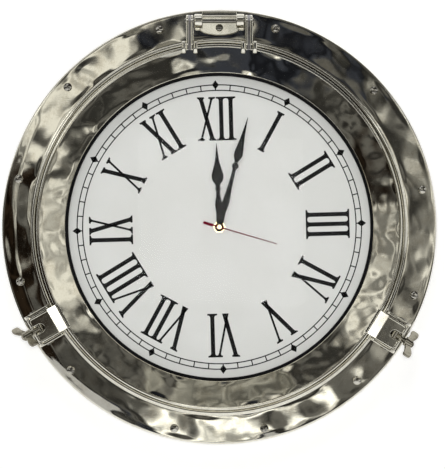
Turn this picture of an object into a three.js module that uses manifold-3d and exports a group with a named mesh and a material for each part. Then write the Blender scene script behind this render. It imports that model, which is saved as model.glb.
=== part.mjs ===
// Porthole clock: a round nickel ring on the wall, a hinged glazed door, two swing bolts
// with wing nuts, and a quartz movement behind a paper dial.
// Millimetres. +Z is up, the wall is the plane Y = 0 and the dial looks along -Y.
// The origin is on the wall, behind the seat of the wall hook in the hanger plate.
import * as THREE from "three";
import { mergeVertices } from "three/addons/utils/BufferGeometryUtils.js";
import Module from "manifold-3d";

const wasm = await Module();
wasm.setup();

// Driving dimensions. A depth is measured from the wall towards the viewer.
const turn = 2 * Math.PI;
const degree = turn / 360;
const ringSides = 60;
const boltSides = 16;
const shaftSides = 12;
const pinSides = 10;
const arbourSides = 6;
const seat = 0.3; // gap between two pieces that rest on each other
const slide = 0.25; // gap between a shaft and the hole it turns in
const overrun = 1; // how far a cutting tool runs past the face it cuts
const weld = 1e-4; // points closer than this are one point

// Base ring: a hollow casting with a broad flange and a standing collar.
const baseRadius = 254;
const baseWall = 3;
const flangeFace = 25;
const shoulderRadius = 6;
const flangeWidth = 36;
const collarWidth = 4.7;
const collarRise = 19; // above the flange
const collarFootRadius = 3;
const ledgeRise = 5; // above the flange
const ledgeThickness = 3;
const ledgeWidth = 13.3;
const sleeveStart = 6;
const lipWidth = 14;
const lipDrop = 1; // below the ledge
const lipThickness = 2.7;
const collarOuterRadius = baseRadius - flangeWidth;
const collarInnerRadius = collarOuterRadius - collarWidth;
const collarTop = flangeFace + collarRise;
const ledgeFace = flangeFace + ledgeRise;
const sleeveRadius = collarInnerRadius - ledgeWidth;
const sleeveBore = sleeveRadius - baseWall;
const lipRadius = sleeveRadius - lipWidth;
const lipFace = ledgeFace - lipDrop;
const lipBack = lipFace - lipThickness;

// Hanger: a keyhole plate on two bosses inside the hollow of the base ring.
const hookInset = 26; // from the rim of the base ring down to the seat of the hook
const hookDrop = baseRadius - hookInset;
const hangerWidth = 58;
const hangerHeight = 26;
const hangerThickness = 1.5;
const hangerBack = 2.2;
const hangerBossSpacing = 44;
const hangerBossRadius = 4.5;
const hangerCornerRadius = 4;
const hangerRivetRadius = 1.6;
const hangerRivetHeadRadius = 3.2;
const hangerRivetHeadHeight = 1.2;
const hangerRivetDepth = 8;
const hookSlotWidth = 6;
const hookHoleRadius = 6;
const hookSlotLength = 9;

// Dome rivets round the flange, in the slightly uneven places a hand-made ring has.
const rivetInset = 13; // from the rim to the rivet circle
const rivetCircleRadius = baseRadius - rivetInset;
const rivetHeadRadius = 5;
const rivetHeadHeight = 2.9;
const rivetShankRadius = 1.6;
const rivetTail = 1;
const rivetAngles = [
  15.8, 48.5, 79.5, 109.3, 138.1, 167.4, 192.6, 226.1, 254.7, 283.5, 312.7, 343.2,
];

// Hinge: a bracket on the flange, a long pin and two arms fixed to the door.
const hingeInset = 14.5; // from the rim to the pin
const hingeDrop = 7; // from the collar's top back to the pin
const hingeRadius = baseRadius - hingeInset;
const hingeDepth = collarTop - hingeDrop;
const hingePinRadius = 2.5;
const hingePinHeadRadius = 3.7;
const hingePinHeadLength = 1.3;
const bracketPlateThickness = 3;
const bracketEarOuter = 29.1;
const bracketEarThickness = 9.6;
const bracketEarRadius = 8.2;
const bracketTongueHalfWidth = 23;
const bracketCollarGap = 3; // between the tongue and the foot of the collar
const bracketRimGap = 2; // between the back wall and the rim of the base ring
const bracketBackThickness = 7.5;
const bracketRivetDrop = 7;
const bracketRivetHeadRadius = 4.4;
const bracketRivetHeadHeight = 2.6;
const armOffset = 34.4;
const armWidth = 8.2;
const armKnuckleRadius = 7;
const armThickness = 5.4;
const armLap = 7; // how far an arm reaches over the door's rim
const armBend = 14;
const armKnuckleFrom = 200; // degrees, where the round of the knuckle starts and ends
const armKnuckleTo = 420;
const armFootReach = 6.5;
const armFootDrop = 1.6;
const armGrooveWidth = 2.4;
const armGrooveDepth = 1.8;
const overCollar = 0.8; // what reaches over the collar clears it by this
const cheekThickness = 4.8;
const cheekRise = 4.2; // above the door's face
const cheekLap = 11; // how far a cheek reaches inwards from the door's rim
const cheekOverhang = 3.5; // and outwards, over the collar

// Door: a ring with a small outer lip, a sloping face and a rounded inner edge.
const doorGap = 1.3; // between the door and the collar
const doorProud = 4.5; // how far the door's lip stands out past the collar
const doorLipWidth = 2;
const doorLipRise = 1.5; // above the outer edge of the face
const doorFaceFall = 1.5; // from the outer edge of the face to the window
const doorFaceWidth = 36.2;
const doorFaceWall = 2.3;
const windowEdgeRadius = 2;
const doorSkirtWidth = 8;
const doorSkirtHeight = 2;
const glassLap = 11.7; // from the window's edge to the wall of the glass pocket
const doorRadius = collarInnerRadius - doorGap;
const doorLipTop = collarTop + doorProud;
const doorFaceOuter = doorLipTop - doorLipRise;
const doorFaceInner = doorFaceOuter - doorFaceFall;
const windowRadius = doorRadius - doorFaceWidth;
const glassSeat = doorFaceInner - doorFaceWall;
const glassPocketRadius = windowRadius + glassLap;

// Glass, its gasket and its retainer, all put in from behind, and the seal on the ledge.
const glassGap = 1.5; // between the glass and the wall of its pocket
const glassThickness = 3;
const gasketThickness = 1.1;
const gasketWidth = 6;
const retainerLap = 5; // over the edge of the glass
const retainerGap = 1; // between the retainer and the door's skirt
const retainerThickness = 2.7;
const sealWidth = 6.5;
const sealThickness = 3.4;
const sealInset = 2.3;
const glassRadius = glassPocketRadius - glassGap;
const doorSkirtDepth = ledgeFace + 2 * seat + sealThickness;
const doorRear = doorSkirtDepth + doorSkirtHeight;

// Latches: a fork on the door, two ears on the base, and a swing bolt with a wing nut.
const latches = [
  { side: "left", angle: 240.5, tilt: 64, nutTurn: 54 },
  { side: "right", angle: 121.5, tilt: 92, nutTurn: -52 },
];
const latchInset = 16; // from the rim of the base ring to the cross pin
const latchPivotRadius = baseRadius - latchInset;
const latchPinRadius = 2.1;
const latchPinHeadRadius = 3.2;
const latchPinHeadLength = 1.2;
const forkWidth = 31;
const forkInset = 2.5; // from the ears' outer edge to the fork's end
const forkLap = 5.7; // how far the fork reaches over the door's rim
const forkFloorThickness = 3.2;
const forkRimRise = 2;
const forkRimWidth = 2.6;
const forkStepDrop = 0.8; // the step by the door lies this far below the rim
const forkStepWidth = 2.9;
const forkRampFootRise = 0.8; // the ramp starts and ends this far above the rim
const forkRampTopRise = 2.4;
const forkRampWidth = 11.8;
const forkSlotWidth = 10.4;
const earThickness = 3.5;
const earInset = 4.5; // from the rim of the base ring to an ear
const earRise = 2.6; // above the collar
const earCornerRadius = 7;
const earChamfer = 3;
const railWidth = 2.6;
const railRise = 8; // above the flange
const earOuter = baseRadius - earInset;
const earTop = collarTop + earRise;
const forkSideGap = 0.8; // between the fork and an ear
const forkCornerRadius = 5;
const eyeRadius = 4.5;
const boltRadius = 3.5;
const boltLength = 26;
const boltTipBevel = 0.8;
const nutStart = 15;
const nutRadius = 5.6;
const nutNeckRadius = 4.8;
const nutLength = 9;
const nutBoreRadius = 3.8;
const wingSpan = 48;
const wingThickness = 3;
const wingStart = 1.2; // above the base of the nut
const wingRise = 13;
const wingTipRadius = 5.2;
const wingTipFrom = -50; // degrees, where the round of a wing's tip starts and ends
const wingTipTo = 130;

// Dial board and paper dial.
const boardGap = 1; // between the board and the sleeve
const boardThickness = 4;
const dialGap = 1; // between the dial and the lip
const dialThickness = 0.6;
const boardFront = lipBack - seat;
const boardBack = boardFront - boardThickness;
const dialBack = boardFront + seat;
const dialFront = dialBack + dialThickness;
const boardScrewCircle = (lipRadius + sleeveBore) / 2;
const boardScrewRadius = 1.6;
const boardScrewHeadRadius = 3.6;
const boardScrewHeadHeight = 2;
const boardScrewBite = 2;
const boardScrewAngles = [60, 180, 300];

// Quartz movement: a moulded tray with a front plate and a threaded bush.
const trayHalfWidth = 28;
const trayTop = 18;
const trayBottom = -38;
const movementDepth = 16.9;
const trayWall = 1.2;
const trayFloor = 1;
const coverThickness = 1.1;
const coverFront = boardBack - seat;
const bayHeight = 18.2; // outside, from the foot of the tray to the top wall of the bay
const bushRadius = 4;
const bushBoreRadius = 2.9;
const bushProud = 3; // in front of the dial
const bushNutThickness = 2.5;
const bushNutAcrossFlats = 12;
const cellRadius = 7.1;
const cellLength = 49.2;
const cellNubRadius = 2.7;
const cellNubLength = 1;
const contactThickness = 0.5;
const contactWidth = 10;
const contactHeight = 12;
const boardChipWidth = 13;
const boardChipHeight = 8;
const boardChipThickness = 1;
const boardChipInset = 0.8;

// Wheels of the train. A module is the pitch diameter over the number of teeth.
const toothTip = 0.5; // in modules, past the pitch circle
const toothRoot = 0.9;
const wheelThickness = 0.8;
const pinionLength = 1.6;
const arbourRadius = 0.5;
const secondTrainModule = 0.42;
const rotorModule = 0.3;
const thirdSlowModule = 0.3;
const motionModule = 0.3125;
const teeth = {
  rotor: 6,
  fourthWheel: 36,
  fourthPinion: 8,
  secondWheel: 40,
  secondPinion: 8,
  thirdWheel: 60,
  thirdPinion: 8,
  centreWheel: 64,
  cannonPinion: 12,
  motionWheel: 36,
  motionPinion: 10,
  hourWheel: 40,
  settingPinion: 12,
};
const rise = { rotor: 2.2, second: 3.7, third: 5.3, centre: 6.9, motion: 9.2, hour: 11.3 };
const thirdAngle = 0;
const fourthAngle = 180;
const motionAngle = 90;
const settingAngle = 30;
const secondShaftRadius = 0.45;
const minuteBoreRadius = 0.7;
const minuteShaftRadius = 1.55;
const hourBoreRadius = 1.85;
const hourShaftRadius = 2.55;
const magnetRadius = 2.2;
const magnetLength = 3;
const statorThickness = 1;
const statorHalfHeight = 12;
const statorArm = 3;
const statorInset = 2;
const coilRadius = 2.8;
const coilLength = 16;
const coilCoreThickness = 1;
const coilCoreWidth = 2;
const knobRadius = 6;
const knobThickness = 3.1;

// Hands: a hand's outline is a table of shares of its length and of its half width.
const handThickness = 0.6;
const handHubRadius = 5.2;
const hourHandGap = 0.5; // between the bush and the hour hand
const minuteHandStep = 1.9; // from the hour hand's back to the minute hand's back
const secondHandStep = 2.1;
const shaftProud = 0.4;
const hourHand = { length: 97.4, width: 14.8, angle: -2 };
const minuteHand = { length: 131.8, width: 10.8, angle: 14.6 };
const secondHand = {
  length: 69.6, width: 1.1, angle: 106.3, tail: 19.5, block: 3.5, blockLength: 11.9,
};
const secondCapRadius = 3;
const secondCapHeight = 1.5;
const hourOutlineShares = [
  [0.04, 0.5], [0.144, 0.37], [0.2, 0.44], [0.27, 0.61], [0.34, 0.4], [0.411, 0.26], [0.435, 0.27],
  [0.448, 0.47], [0.468, 0.47], [0.481, 0.27], [0.5, 0.29], [0.55, 0.76], [0.603, 1], [0.66, 0.82],
  [0.72, 0.56], [0.79, 0.34], [0.88, 0.17], [1, 0.03],
];
const minuteOutlineShares = [
  [0.03, 0.7], [0.129, 0.49], [0.17, 0.6], [0.22, 0.81], [0.29, 0.62], [0.402, 0.44], [0.53, 0.33],
  [0.543, 0.74], [0.569, 0.74], [0.582, 0.33], [0.602, 0.38], [0.63, 0.78], [0.662, 1], [0.71, 0.84],
  [0.77, 0.6], [0.84, 0.38], [0.92, 0.2], [1, 0.04],
];

// Materials.
const finish = (color, metalness, roughness) =>
  new THREE.MeshStandardMaterial({ color, metalness, roughness });
const nickel = finish(0xb3ac98, 1, 0.28);
const darkNickel = finish(0x8f897a, 1, 0.35);
const steel = finish(0x9a9a98, 1, 0.4);
const brass = finish(0xb08a3e, 1, 0.35);
const rubber = finish(0x1b1b1b, 0, 0.8);
const fibreboard = finish(0x8a6a48, 0, 0.9);
const paper = finish(0xd9dbd8, 0, 0.7);
const glassMaterial = finish(0xe8f0ee, 0, 0.05);
const blackPaint = finish(0x0b0b0b, 0, 0.5);
const redPaint = finish(0x9c1026, 0, 0.4);
const blackPlastic = finish(0x161616, 0, 0.55);
const whitePlastic = finish(0xd8d6cc, 0, 0.5);
const copper = finish(0xa5602f, 1, 0.4);
const green = finish(0x1f5b34, 0, 0.6);

// Solids. Each function works in the clock's own frame: x to the right, y up, z towards the viewer.
function solidOf(geometry) {
  const flat = geometry.index ? geometry.toNonIndexed() : geometry;
  const bare = new THREE.BufferGeometry().setAttribute("position", flat.getAttribute("position"));
  const merged = mergeVertices(bare, weld);
  const triVerts = new Uint32Array(merged.index.array);
  const vertProperties = merged.attributes.position.array;
  return new wasm.Manifold(new wasm.Mesh({ numProp: 3, vertProperties, triVerts }));
}

function geometryOf(solid) {
  const made = solid.getMesh();
  const geometry = new THREE.BufferGeometry();
  geometry.setAttribute("position", new THREE.BufferAttribute(made.vertProperties, 3));
  geometry.setIndex(new THREE.BufferAttribute(made.triVerts, 1));
  return geometry;
}

// An arc of an outline, from one angle to another, in equal steps.
function arc(x, y, radius, from, to, steps) {
  const at = (i) => (from + ((to - from) * i) / steps) * degree;
  return Array.from({ length: steps + 1 }, (_, i) => [
    x + radius * Math.cos(at(i)),
    y + radius * Math.sin(at(i)),
  ]);
}

// A round solid: the outline is [radius, depth] points, closed on itself or on the axis.
function spun(outline, sides, closed = true) {
  const points = outline.map(([r, d]) => new THREE.Vector2(r, d));
  if (THREE.ShapeUtils.area(points) < 0) points.reverse();
  if (closed) points.push(points[0].clone());
  return solidOf(new THREE.LatheGeometry(points, sides).rotateX(turn / 4));
}

function rod(radius, from, to, sides) {
  const outline = [[0, from], [radius, from], [radius, to], [0, to]];
  return spun(outline, sides, false);
}

function tube(bore, radius, from, to, sides) {
  return spun([[bore, from], [radius, from], [radius, to], [bore, to]], sides);
}

// A flat solid: the outline is [x, y] points, and it fills the depths between two faces.
function slab(outline, from, to, holes = []) {
  const shape = new THREE.Shape(outline.map(([x, y]) => new THREE.Vector2(x, y)));
  for (const hole of holes) {
    shape.holes.push(new THREE.Path(hole.map(([x, y]) => new THREE.Vector2(x, y))));
  }
  const geometry = new THREE.ExtrudeGeometry(shape, { depth: to - from, bevelEnabled: false });
  return solidOf(geometry.translate(0, 0, from));
}

function block(x0, x1, y0, y1, from, to) {
  return slab([[x0, y0], [x1, y0], [x1, y1], [x0, y1]], from, to);
}

// A flat solid on edge: its outline is [y, z] points, and it runs along x between two places.
function across(outline, x0, x1) {
  return slab(outline, x0, x1).rotate([90, 0, 90]);
}

// A round bar along x, through the point y, z.
function crossRod(radius, x0, x1, y, z, sides) {
  return rod(radius, x0, x1, sides).rotate([0, 90, 0]).translate([0, y, z]);
}

// A dome head with its flat side at one depth, swelling to its height above it.
function dome(radius, height, from, sides) {
  const steps = 2;
  const outline = [[0, from]];
  for (let i = 0; i <= steps; i += 1) {
    const rise = (i * turn) / 4 / steps;
    outline.push([radius * Math.cos(rise), from + height * Math.sin(rise)]);
  }
  outline[steps + 1][0] = 0;
  return spun(outline, sides, false);
}

const circle = (x, y, radius, sides) => arc(x, y, radius, 0, 360 - 360 / sides, sides - 1);
const clockwise = (solid, angle) => solid.rotate([0, 0, -angle]);
const join = (first, ...rest) => rest.reduce((made, next) => made.add(next), first);
const cut = (first, ...rest) => rest.reduce((made, next) => made.subtract(next), first);

const clock = new THREE.Group();
clock.position.set(0, 0, -hookDrop);
clock.rotation.x = turn / 4;

function place(name, solid, material, parent = clock) {
  const mesh = new THREE.Mesh(geometryOf(solid), material);
  mesh.name = name;
  parent.add(mesh);
  return mesh;
}

// Case: the base ring with its latch ears and hanger bosses.
const flangeBack = flangeFace - baseWall;
const flangeMiddle = flangeFace - baseWall / 2;
const hangerFront = hangerBack + hangerThickness;
const hangerBossEnd = hangerFront + seat;
const hangerBossRise = hookDrop - hangerBossRadius / 2;
const earSide = forkWidth / 2 + forkSideGap;
const latchPivotDepth = collarTop + overCollar - forkSideGap - eyeRadius;
const shankHole = rivetShankRadius + slide;

function baseOutline() {
  const round = collarWidth / 2;
  const bend = shoulderRadius - baseWall;
  const shoulder = baseRadius - shoulderRadius;
  const foot = collarFootRadius;
  return [
    [baseRadius - baseWall, 0],
    [baseRadius, 0],
    ...arc(shoulder, flangeFace - shoulderRadius, shoulderRadius, 0, 90, 4),
    ...arc(collarOuterRadius + foot, flangeFace + foot, foot, 270, 180, 1),
    ...arc(collarOuterRadius - round, collarTop - round, round, 0, 180, 3),
    [collarInnerRadius, ledgeFace],
    [sleeveRadius, ledgeFace],
    [sleeveRadius, lipFace],
    [lipRadius, lipFace],
    [lipRadius, lipBack],
    [sleeveBore, lipBack],
    [sleeveBore, sleeveStart],
    [sleeveRadius, sleeveStart],
    [sleeveRadius, ledgeFace - ledgeThickness],
    [collarInnerRadius, ledgeFace - ledgeThickness],
    [collarOuterRadius, flangeBack],
    ...arc(shoulder, flangeBack - bend, bend, 90, 0, 1),
  ];
}

function latchEars() {
  const corner = earCornerRadius;
  const inner = collarOuterRadius - collarWidth / 2;
  const rail = earOuter - railWidth;
  const outline = [
    [inner, flangeMiddle],
    [earOuter, flangeBack],
    ...arc(earOuter - corner, earTop - corner, corner, 0, 90, 4),
    [collarOuterRadius + earChamfer, earTop],
    [inner, collarTop - earChamfer],
  ];
  const outer = earSide + earThickness;
  const pair = join(
    across(outline, earSide, outer),
    across(outline, -outer, -earSide),
    block(-outer, outer, rail, earOuter, flangeBack, flangeFace + railRise),
  );
  const reach = outer + overrun;
  const hole = crossRod(
    latchPinRadius + seat, -reach, reach, latchPivotRadius, latchPivotDepth, pinSides,
  );
  return pair.subtract(hole);
}

function hangerBoss(x) {
  const at = [x, hangerBossRise, 0];
  return rod(hangerBossRadius, hangerBossEnd, flangeMiddle, pinSides).translate(at);
}

function baseRing() {
  const ring = spun(baseOutline(), ringSides);
  const ears = latches.map((latch) => clockwise(latchEars(), latch.angle));
  const bossPlaces = [-hangerBossSpacing / 2, hangerBossSpacing / 2];
  const bossHoles = bossPlaces.map((x) => {
    const end = hangerBossEnd + hangerRivetDepth;
    const hole = rod(hangerRivetRadius + seat, hangerBossEnd - overrun, end, arbourSides);
    return hole.translate([x, hangerBossRise, 0]);
  });
  const rivetHoles = rivetAngles.map((angle) => {
    const hole = rod(shankHole, flangeBack - overrun, flangeFace + overrun, arbourSides);
    return clockwise(hole.translate([0, rivetCircleRadius, 0]), angle);
  });
  const screwHoles = boardScrewAngles.map((angle) => {
    const end = lipBack + boardScrewBite + seat;
    const hole = rod(boardScrewRadius + seat, lipBack - overrun, end, arbourSides);
    return clockwise(hole.translate([0, boardScrewCircle, 0]), angle);
  });
  const bracketHole = rod(shankHole, flangeBack - overrun, flangeFace + overrun, arbourSides)
    .translate([0, hingeRadius - bracketRivetDrop, 0]);
  const solid = join(ring, ...ears, ...bossPlaces.map(hangerBoss));
  return cut(solid, ...bossHoles, ...rivetHoles, ...screwHoles, bracketHole);
}

place("base_ring", baseRing(), nickel);

// A rivet: its dome rests on a face, and its shank goes through to a short tail behind.
function rivet(headRadius, headHeight, face, end) {
  const head = dome(headRadius, headHeight, face + seat, pinSides);
  return head.add(rod(rivetShankRadius, end, face + seat + headHeight / 2, arbourSides));
}

rivetAngles.forEach((angle, i) => {
  const solid = rivet(rivetHeadRadius, rivetHeadHeight, flangeFace, flangeBack - rivetTail);
  const name = `flange_rivet_${String(i + 1).padStart(2, "0")}`;
  place(name, clockwise(solid.translate([0, rivetCircleRadius, 0]), angle), nickel);
});

// Hinge bracket: a plate with a half-round tongue, two ears for the pin and a back wall.
function hingeBracket() {
  const from = flangeFace + seat;
  const to = from + bracketPlateThickness;
  const back = baseRadius - bracketRimGap;
  const tongueReach = hingeRadius - collarOuterRadius - collarFootRadius - bracketCollarGap;
  const ear = bracketEarOuter - bracketEarThickness;
  const tongue = Array.from({ length: 9 }, (_, i) => {
    const swing = (turn / 2) * (i / 8);
    return [
      -bracketTongueHalfWidth * Math.cos(swing),
      hingeRadius - tongueReach * Math.sin(swing),
    ];
  });
  const outline = [
    [bracketEarOuter, hingeRadius - bracketEarRadius],
    [bracketEarOuter, hingeRadius + bracketEarRadius],
    [ear, back],
    [-ear, back],
    [-bracketEarOuter, hingeRadius + bracketEarRadius],
    [-bracketEarOuter, hingeRadius - bracketEarRadius],
    [-bracketTongueHalfWidth, hingeRadius - bracketEarRadius],
    ...tongue.slice(1, -1),
    [bracketTongueHalfWidth, hingeRadius - bracketEarRadius],
  ];
  const side = [
    [hingeRadius - bracketEarRadius, from],
    [hingeRadius + bracketEarRadius, from],
    ...arc(hingeRadius, hingeDepth, bracketEarRadius, 0, 180, 8),
  ];
  const rivetHole = rod(shankHole, from - overrun, to + overrun, arbourSides);
  return cut(
    join(
      slab(outline, from, to),
      across(side, ear, bracketEarOuter),
      across(side, -bracketEarOuter, -ear),
      block(-ear, ear, back - bracketBackThickness, back, from, hingeDepth),
    ),
    crossRod(hingePinRadius + seat, -armOffset, armOffset, hingeRadius, hingeDepth, pinSides),
    rivetHole.translate([0, hingeRadius - bracketRivetDrop, 0]),
  );
}

const armOuter = armOffset + armWidth / 2;
place("hinge_bracket", hingeBracket(), nickel);

const bracketFace = flangeFace + seat + bracketPlateThickness;
const bracketRivet = rivet(
  bracketRivetHeadRadius, bracketRivetHeadHeight, bracketFace, flangeBack - rivetTail,
);
place("bracket_rivet", bracketRivet.translate([0, hingeRadius - bracketRivetDrop, 0]), nickel);

// A pin across the clock with a flat head at each end.
function headedPin(radius, headRadius, headLength, half, y, z) {
  const head = half + seat;
  return join(
    crossRod(radius, -head - headLength / 2, head + headLength / 2, y, z, pinSides),
    crossRod(headRadius, head, head + headLength, y, z, pinSides),
    crossRod(headRadius, -head - headLength, -head, y, z, pinSides),
  );
}

place(
  "hinge_pin",
  headedPin(
    hingePinRadius, hingePinHeadRadius, hingePinHeadLength, armOuter, hingeRadius, hingeDepth,
  ),
  steel,
);

// Door: the ring with the four cheeks that hold the arms.
const forkUnderside = collarTop + overCollar;
const notchFloor = forkUnderside - seat;
const cheekHeight = doorFaceOuter + cheekRise;
const cheekInner = doorRadius - cheekLap;
const cheekOuter = doorRadius + cheekOverhang;
const armEnd = doorRadius - armLap;
const forkFloor = forkUnderside + forkFloorThickness;
const forkRim = forkFloor + forkRimRise;
const forkRampTop = forkRim + forkRampTopRise;
const forkRoot = doorRadius - forkLap;
const forkEnd = earOuter - forkInset;

function doorOutline() {
  const lip = doorLipWidth / 2;
  return [
    [glassPocketRadius, doorRear],
    [doorRadius - doorSkirtWidth, doorRear],
    [doorRadius - doorSkirtWidth, doorSkirtDepth],
    [doorRadius, doorSkirtDepth],
    ...arc(doorRadius - lip, doorLipTop - lip, lip, 0, 180, 3),
    [doorRadius - doorLipWidth, doorFaceOuter],
    ...arc(
      windowRadius + windowEdgeRadius, doorFaceInner - windowEdgeRadius, windowEdgeRadius, 90, 180, 2,
    ),
    [windowRadius, glassSeat],
    [glassPocketRadius, glassSeat],
  ];
}

function cheek(x) {
  const slope = cheekHeight - doorFaceOuter;
  const outline = [
    [cheekInner, doorFaceInner],
    [cheekOuter, forkUnderside],
    [cheekOuter, cheekHeight - slope / 2],
    [cheekOuter - slope / 2, cheekHeight],
    [cheekInner + slope, cheekHeight],
    [cheekInner, doorFaceOuter],
  ];
  return across(outline, x - cheekThickness / 2, x + cheekThickness / 2);
}

function doorRing() {
  const cheekShift = armWidth / 2 + seat + cheekThickness / 2;
  const cheekPlaces = [armOffset - cheekShift, armOffset + cheekShift];
  const cheeks = cheekPlaces.flatMap((x) => [cheek(x), cheek(-x)]);
  const armHalf = armWidth / 2 + seat;
  const top = cheekHeight + overrun;
  const slots = [-armOffset, armOffset].map((x) =>
    block(x - armHalf, x + armHalf, armEnd - seat, cheekOuter + overrun, notchFloor, top),
  );
  const forkHalf = forkWidth / 2 + seat;
  const notches = latches.map((latch) => {
    const notch = block(
      -forkHalf, forkHalf, forkRoot - seat, collarOuterRadius, notchFloor, forkRampTop,
    );
    return clockwise(notch, latch.angle);
  });
  return cut(join(spun(doorOutline(), ringSides), ...cheeks), ...slots, ...notches);
}

place("door_ring", doorRing(), nickel);

// Hinge arms: a knuckle on the pin, and a bar that reaches over the collar into the cheeks.
function hingeArm() {
  const bar = forkUnderside + armThickness;
  const foot = armEnd + armFootReach;
  const outline = [
    ...arc(hingeRadius, hingeDepth, armKnuckleRadius, armKnuckleFrom, armKnuckleTo, 11),
    [hingeRadius, bar],
    [foot, bar],
    [foot, bar - armFootDrop],
    [armEnd, bar - armFootDrop],
    [armEnd, forkUnderside],
    [hingeRadius - armBend, forkUnderside],
  ];
  const reach = armWidth / 2 + overrun;
  const bore = crossRod(
    hingePinRadius + slide, -reach, reach, hingeRadius, hingeDepth, pinSides,
  );
  const groove = block(
    -armGrooveWidth / 2, armGrooveWidth / 2, foot - overrun, hingeRadius, bar - armGrooveDepth,
    bar + overrun,
  );
  return cut(across(outline, -armWidth / 2, armWidth / 2), bore, groove);
}

place("hinge_arm_left", hingeArm().translate([-armOffset, 0, 0]), nickel);
place("hinge_arm_right", hingeArm().translate([armOffset, 0, 0]), nickel);

// Glazing, from the front to the back: gasket, glass and retainer, and then the seal on the ledge.
const gasketFront = glassSeat - seat;
const glassFront = gasketFront - gasketThickness - seat;
const glassBack = glassFront - glassThickness;
const retainerFront = doorRear - seat;
const retainerInnerRadius = glassRadius - retainerLap;
const retainerOuterRadius = doorRadius - doorSkirtWidth - retainerGap;

function retainer() {
  const spigot = glassPocketRadius - seat;
  const outline = [
    [retainerInnerRadius, retainerFront - retainerThickness],
    [retainerOuterRadius, retainerFront - retainerThickness],
    [retainerOuterRadius, retainerFront],
    [spigot, retainerFront],
    [spigot, glassBack - seat],
    [retainerInnerRadius, glassBack - seat],
  ];
  return spun(outline, ringSides);
}

const gasket = tube(
  glassRadius - gasketWidth, glassRadius, gasketFront - gasketThickness, gasketFront, ringSides,
);
const sealOuter = collarInnerRadius - sealInset;
const seal = tube(
  sealOuter - sealWidth, sealOuter, ledgeFace + seat, doorSkirtDepth - seat, ringSides,
);
place("glass_gasket", gasket, rubber);
place("glass", rod(glassRadius, glassBack, glassFront, ringSides), glassMaterial);
place("glass_retainer", retainer(), darkNickel);
place("door_seal", seal, rubber);

// Latch fork: a ramp by the door, then a walled floor with a slot that opens outwards.
function latchFork() {
  const half = forkWidth / 2;
  const rampStart = forkRoot + forkStepWidth;
  const rampEnd = rampStart + forkRampWidth;
  const stepTop = forkRim - forkStepDrop;
  const corner = forkCornerRadius;
  const plate = [
    [-half, rampEnd],
    [half, rampEnd],
    ...arc(half - corner, forkEnd - corner, corner, 0, 90, 3),
    ...arc(corner - half, forkEnd - corner, corner, 90, 180, 3),
  ];
  const ramp = [
    [forkRoot, forkUnderside],
    [rampEnd + seat, forkUnderside],
    [rampEnd + seat, forkRampTop],
    [rampStart, forkRim + forkRampFootRise],
    [rampStart, stepTop],
    [forkRoot, stepTop],
  ];
  const slotHalf = forkSlotWidth / 2;
  const slot = [
    ...arc(0, latchPivotRadius, slotHalf, 180, 360, 8),
    [slotHalf, forkEnd + overrun],
    [-slotHalf, forkEnd + overrun],
  ];
  const inner = half - forkRimWidth;
  const lip = forkEnd - forkRimWidth;
  const pocket = block(-inner, inner, rampEnd + seat, lip, forkFloor, forkRim + overrun);
  const top = forkRim + overrun;
  return join(
    cut(slab(plate, forkUnderside, forkRim), pocket, slab(slot, forkUnderside - overrun, top)),
    across(ramp, -half, half),
  );
}

// Swing bolt, in its own frame: the eye lies along x at the origin and the shank points along z.
function swingBolt() {
  const eyeHalf = earSide - seat;
  const bore = latchPinRadius + slide;
  const start = (bore + eyeRadius) / 2;
  const shank = [
    [0, start],
    [boltRadius, start],
    [boltRadius, boltLength - boltTipBevel],
    [boltRadius - boltTipBevel, boltLength],
    [0, boltLength],
  ];
  const eye = crossRod(eyeRadius, -eyeHalf, eyeHalf, 0, 0, boltSides);
  const reach = eyeHalf + overrun;
  return join(eye, spun(shank, boltSides, false)).subtract(
    crossRod(bore, -reach, reach, 0, 0, pinSides),
  );
}

function wingNut() {
  const end = nutStart + nutLength;
  const barrel = [
    [nutBoreRadius, nutStart],
    [nutRadius, nutStart],
    [nutNeckRadius, end],
    [nutBoreRadius, end],
  ];
  const tipX = wingSpan / 2 - wingTipRadius;
  const tipZ = nutStart + wingRise - wingTipRadius;
  const root = (nutBoreRadius + nutNeckRadius) / 2;
  const wing = [
    [root, nutStart + wingStart],
    [nutRadius, nutStart + wingStart],
    ...arc(tipX, tipZ, wingTipRadius, wingTipFrom, wingTipTo, 6),
    [root, end],
  ];
  const half = wingThickness / 2;
  const first = slab(wing, -half, half).rotate([90, 0, 0]);
  return join(spun(barrel, boltSides), first, first.rotate([0, 0, 180]));
}

function latchPin() {
  const half = earSide + earThickness;
  return headedPin(
    latchPinRadius, latchPinHeadRadius, latchPinHeadLength, half, latchPivotRadius, latchPivotDepth,
  );
}

for (const latch of latches) {
  place(`latch_fork_${latch.side}`, clockwise(latchFork(), latch.angle), nickel);
  place(`latch_pin_${latch.side}`, clockwise(latchPin(), latch.angle), steel);
  const station = new THREE.Group();
  station.rotation.z = -latch.angle * degree;
  const pivot = new THREE.Group();
  pivot.position.set(0, latchPivotRadius, latchPivotDepth);
  pivot.rotation.x = -latch.tilt * degree;
  clock.add(station);
  station.add(pivot);
  place(`swing_bolt_${latch.side}`, swingBolt(), nickel, pivot);
  const nut = place(`wing_nut_${latch.side}`, wingNut(), nickel, pivot);
  nut.rotation.z = latch.nutTurn * degree;
}

// Dial: a fibreboard disc screwed to the lip from behind, with a printed paper face.
function dialBoard() {
  const holes = boardScrewAngles.map((angle) => {
    const hole = rod(
      boardScrewRadius + seat, boardBack - overrun, boardFront + overrun, arbourSides,
    );
    return clockwise(hole.translate([0, boardScrewCircle, 0]), angle);
  });
  const disc = tube(bushRadius + seat, sleeveBore - boardGap, boardBack, boardFront, ringSides);
  return cut(disc, ...holes);
}

function boardScrew() {
  const under = boardBack - seat;
  return join(
    rod(boardScrewHeadRadius, under - boardScrewHeadHeight, under, pinSides),
    rod(boardScrewRadius, under - seat, lipBack + boardScrewBite, arbourSides),
  );
}

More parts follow.
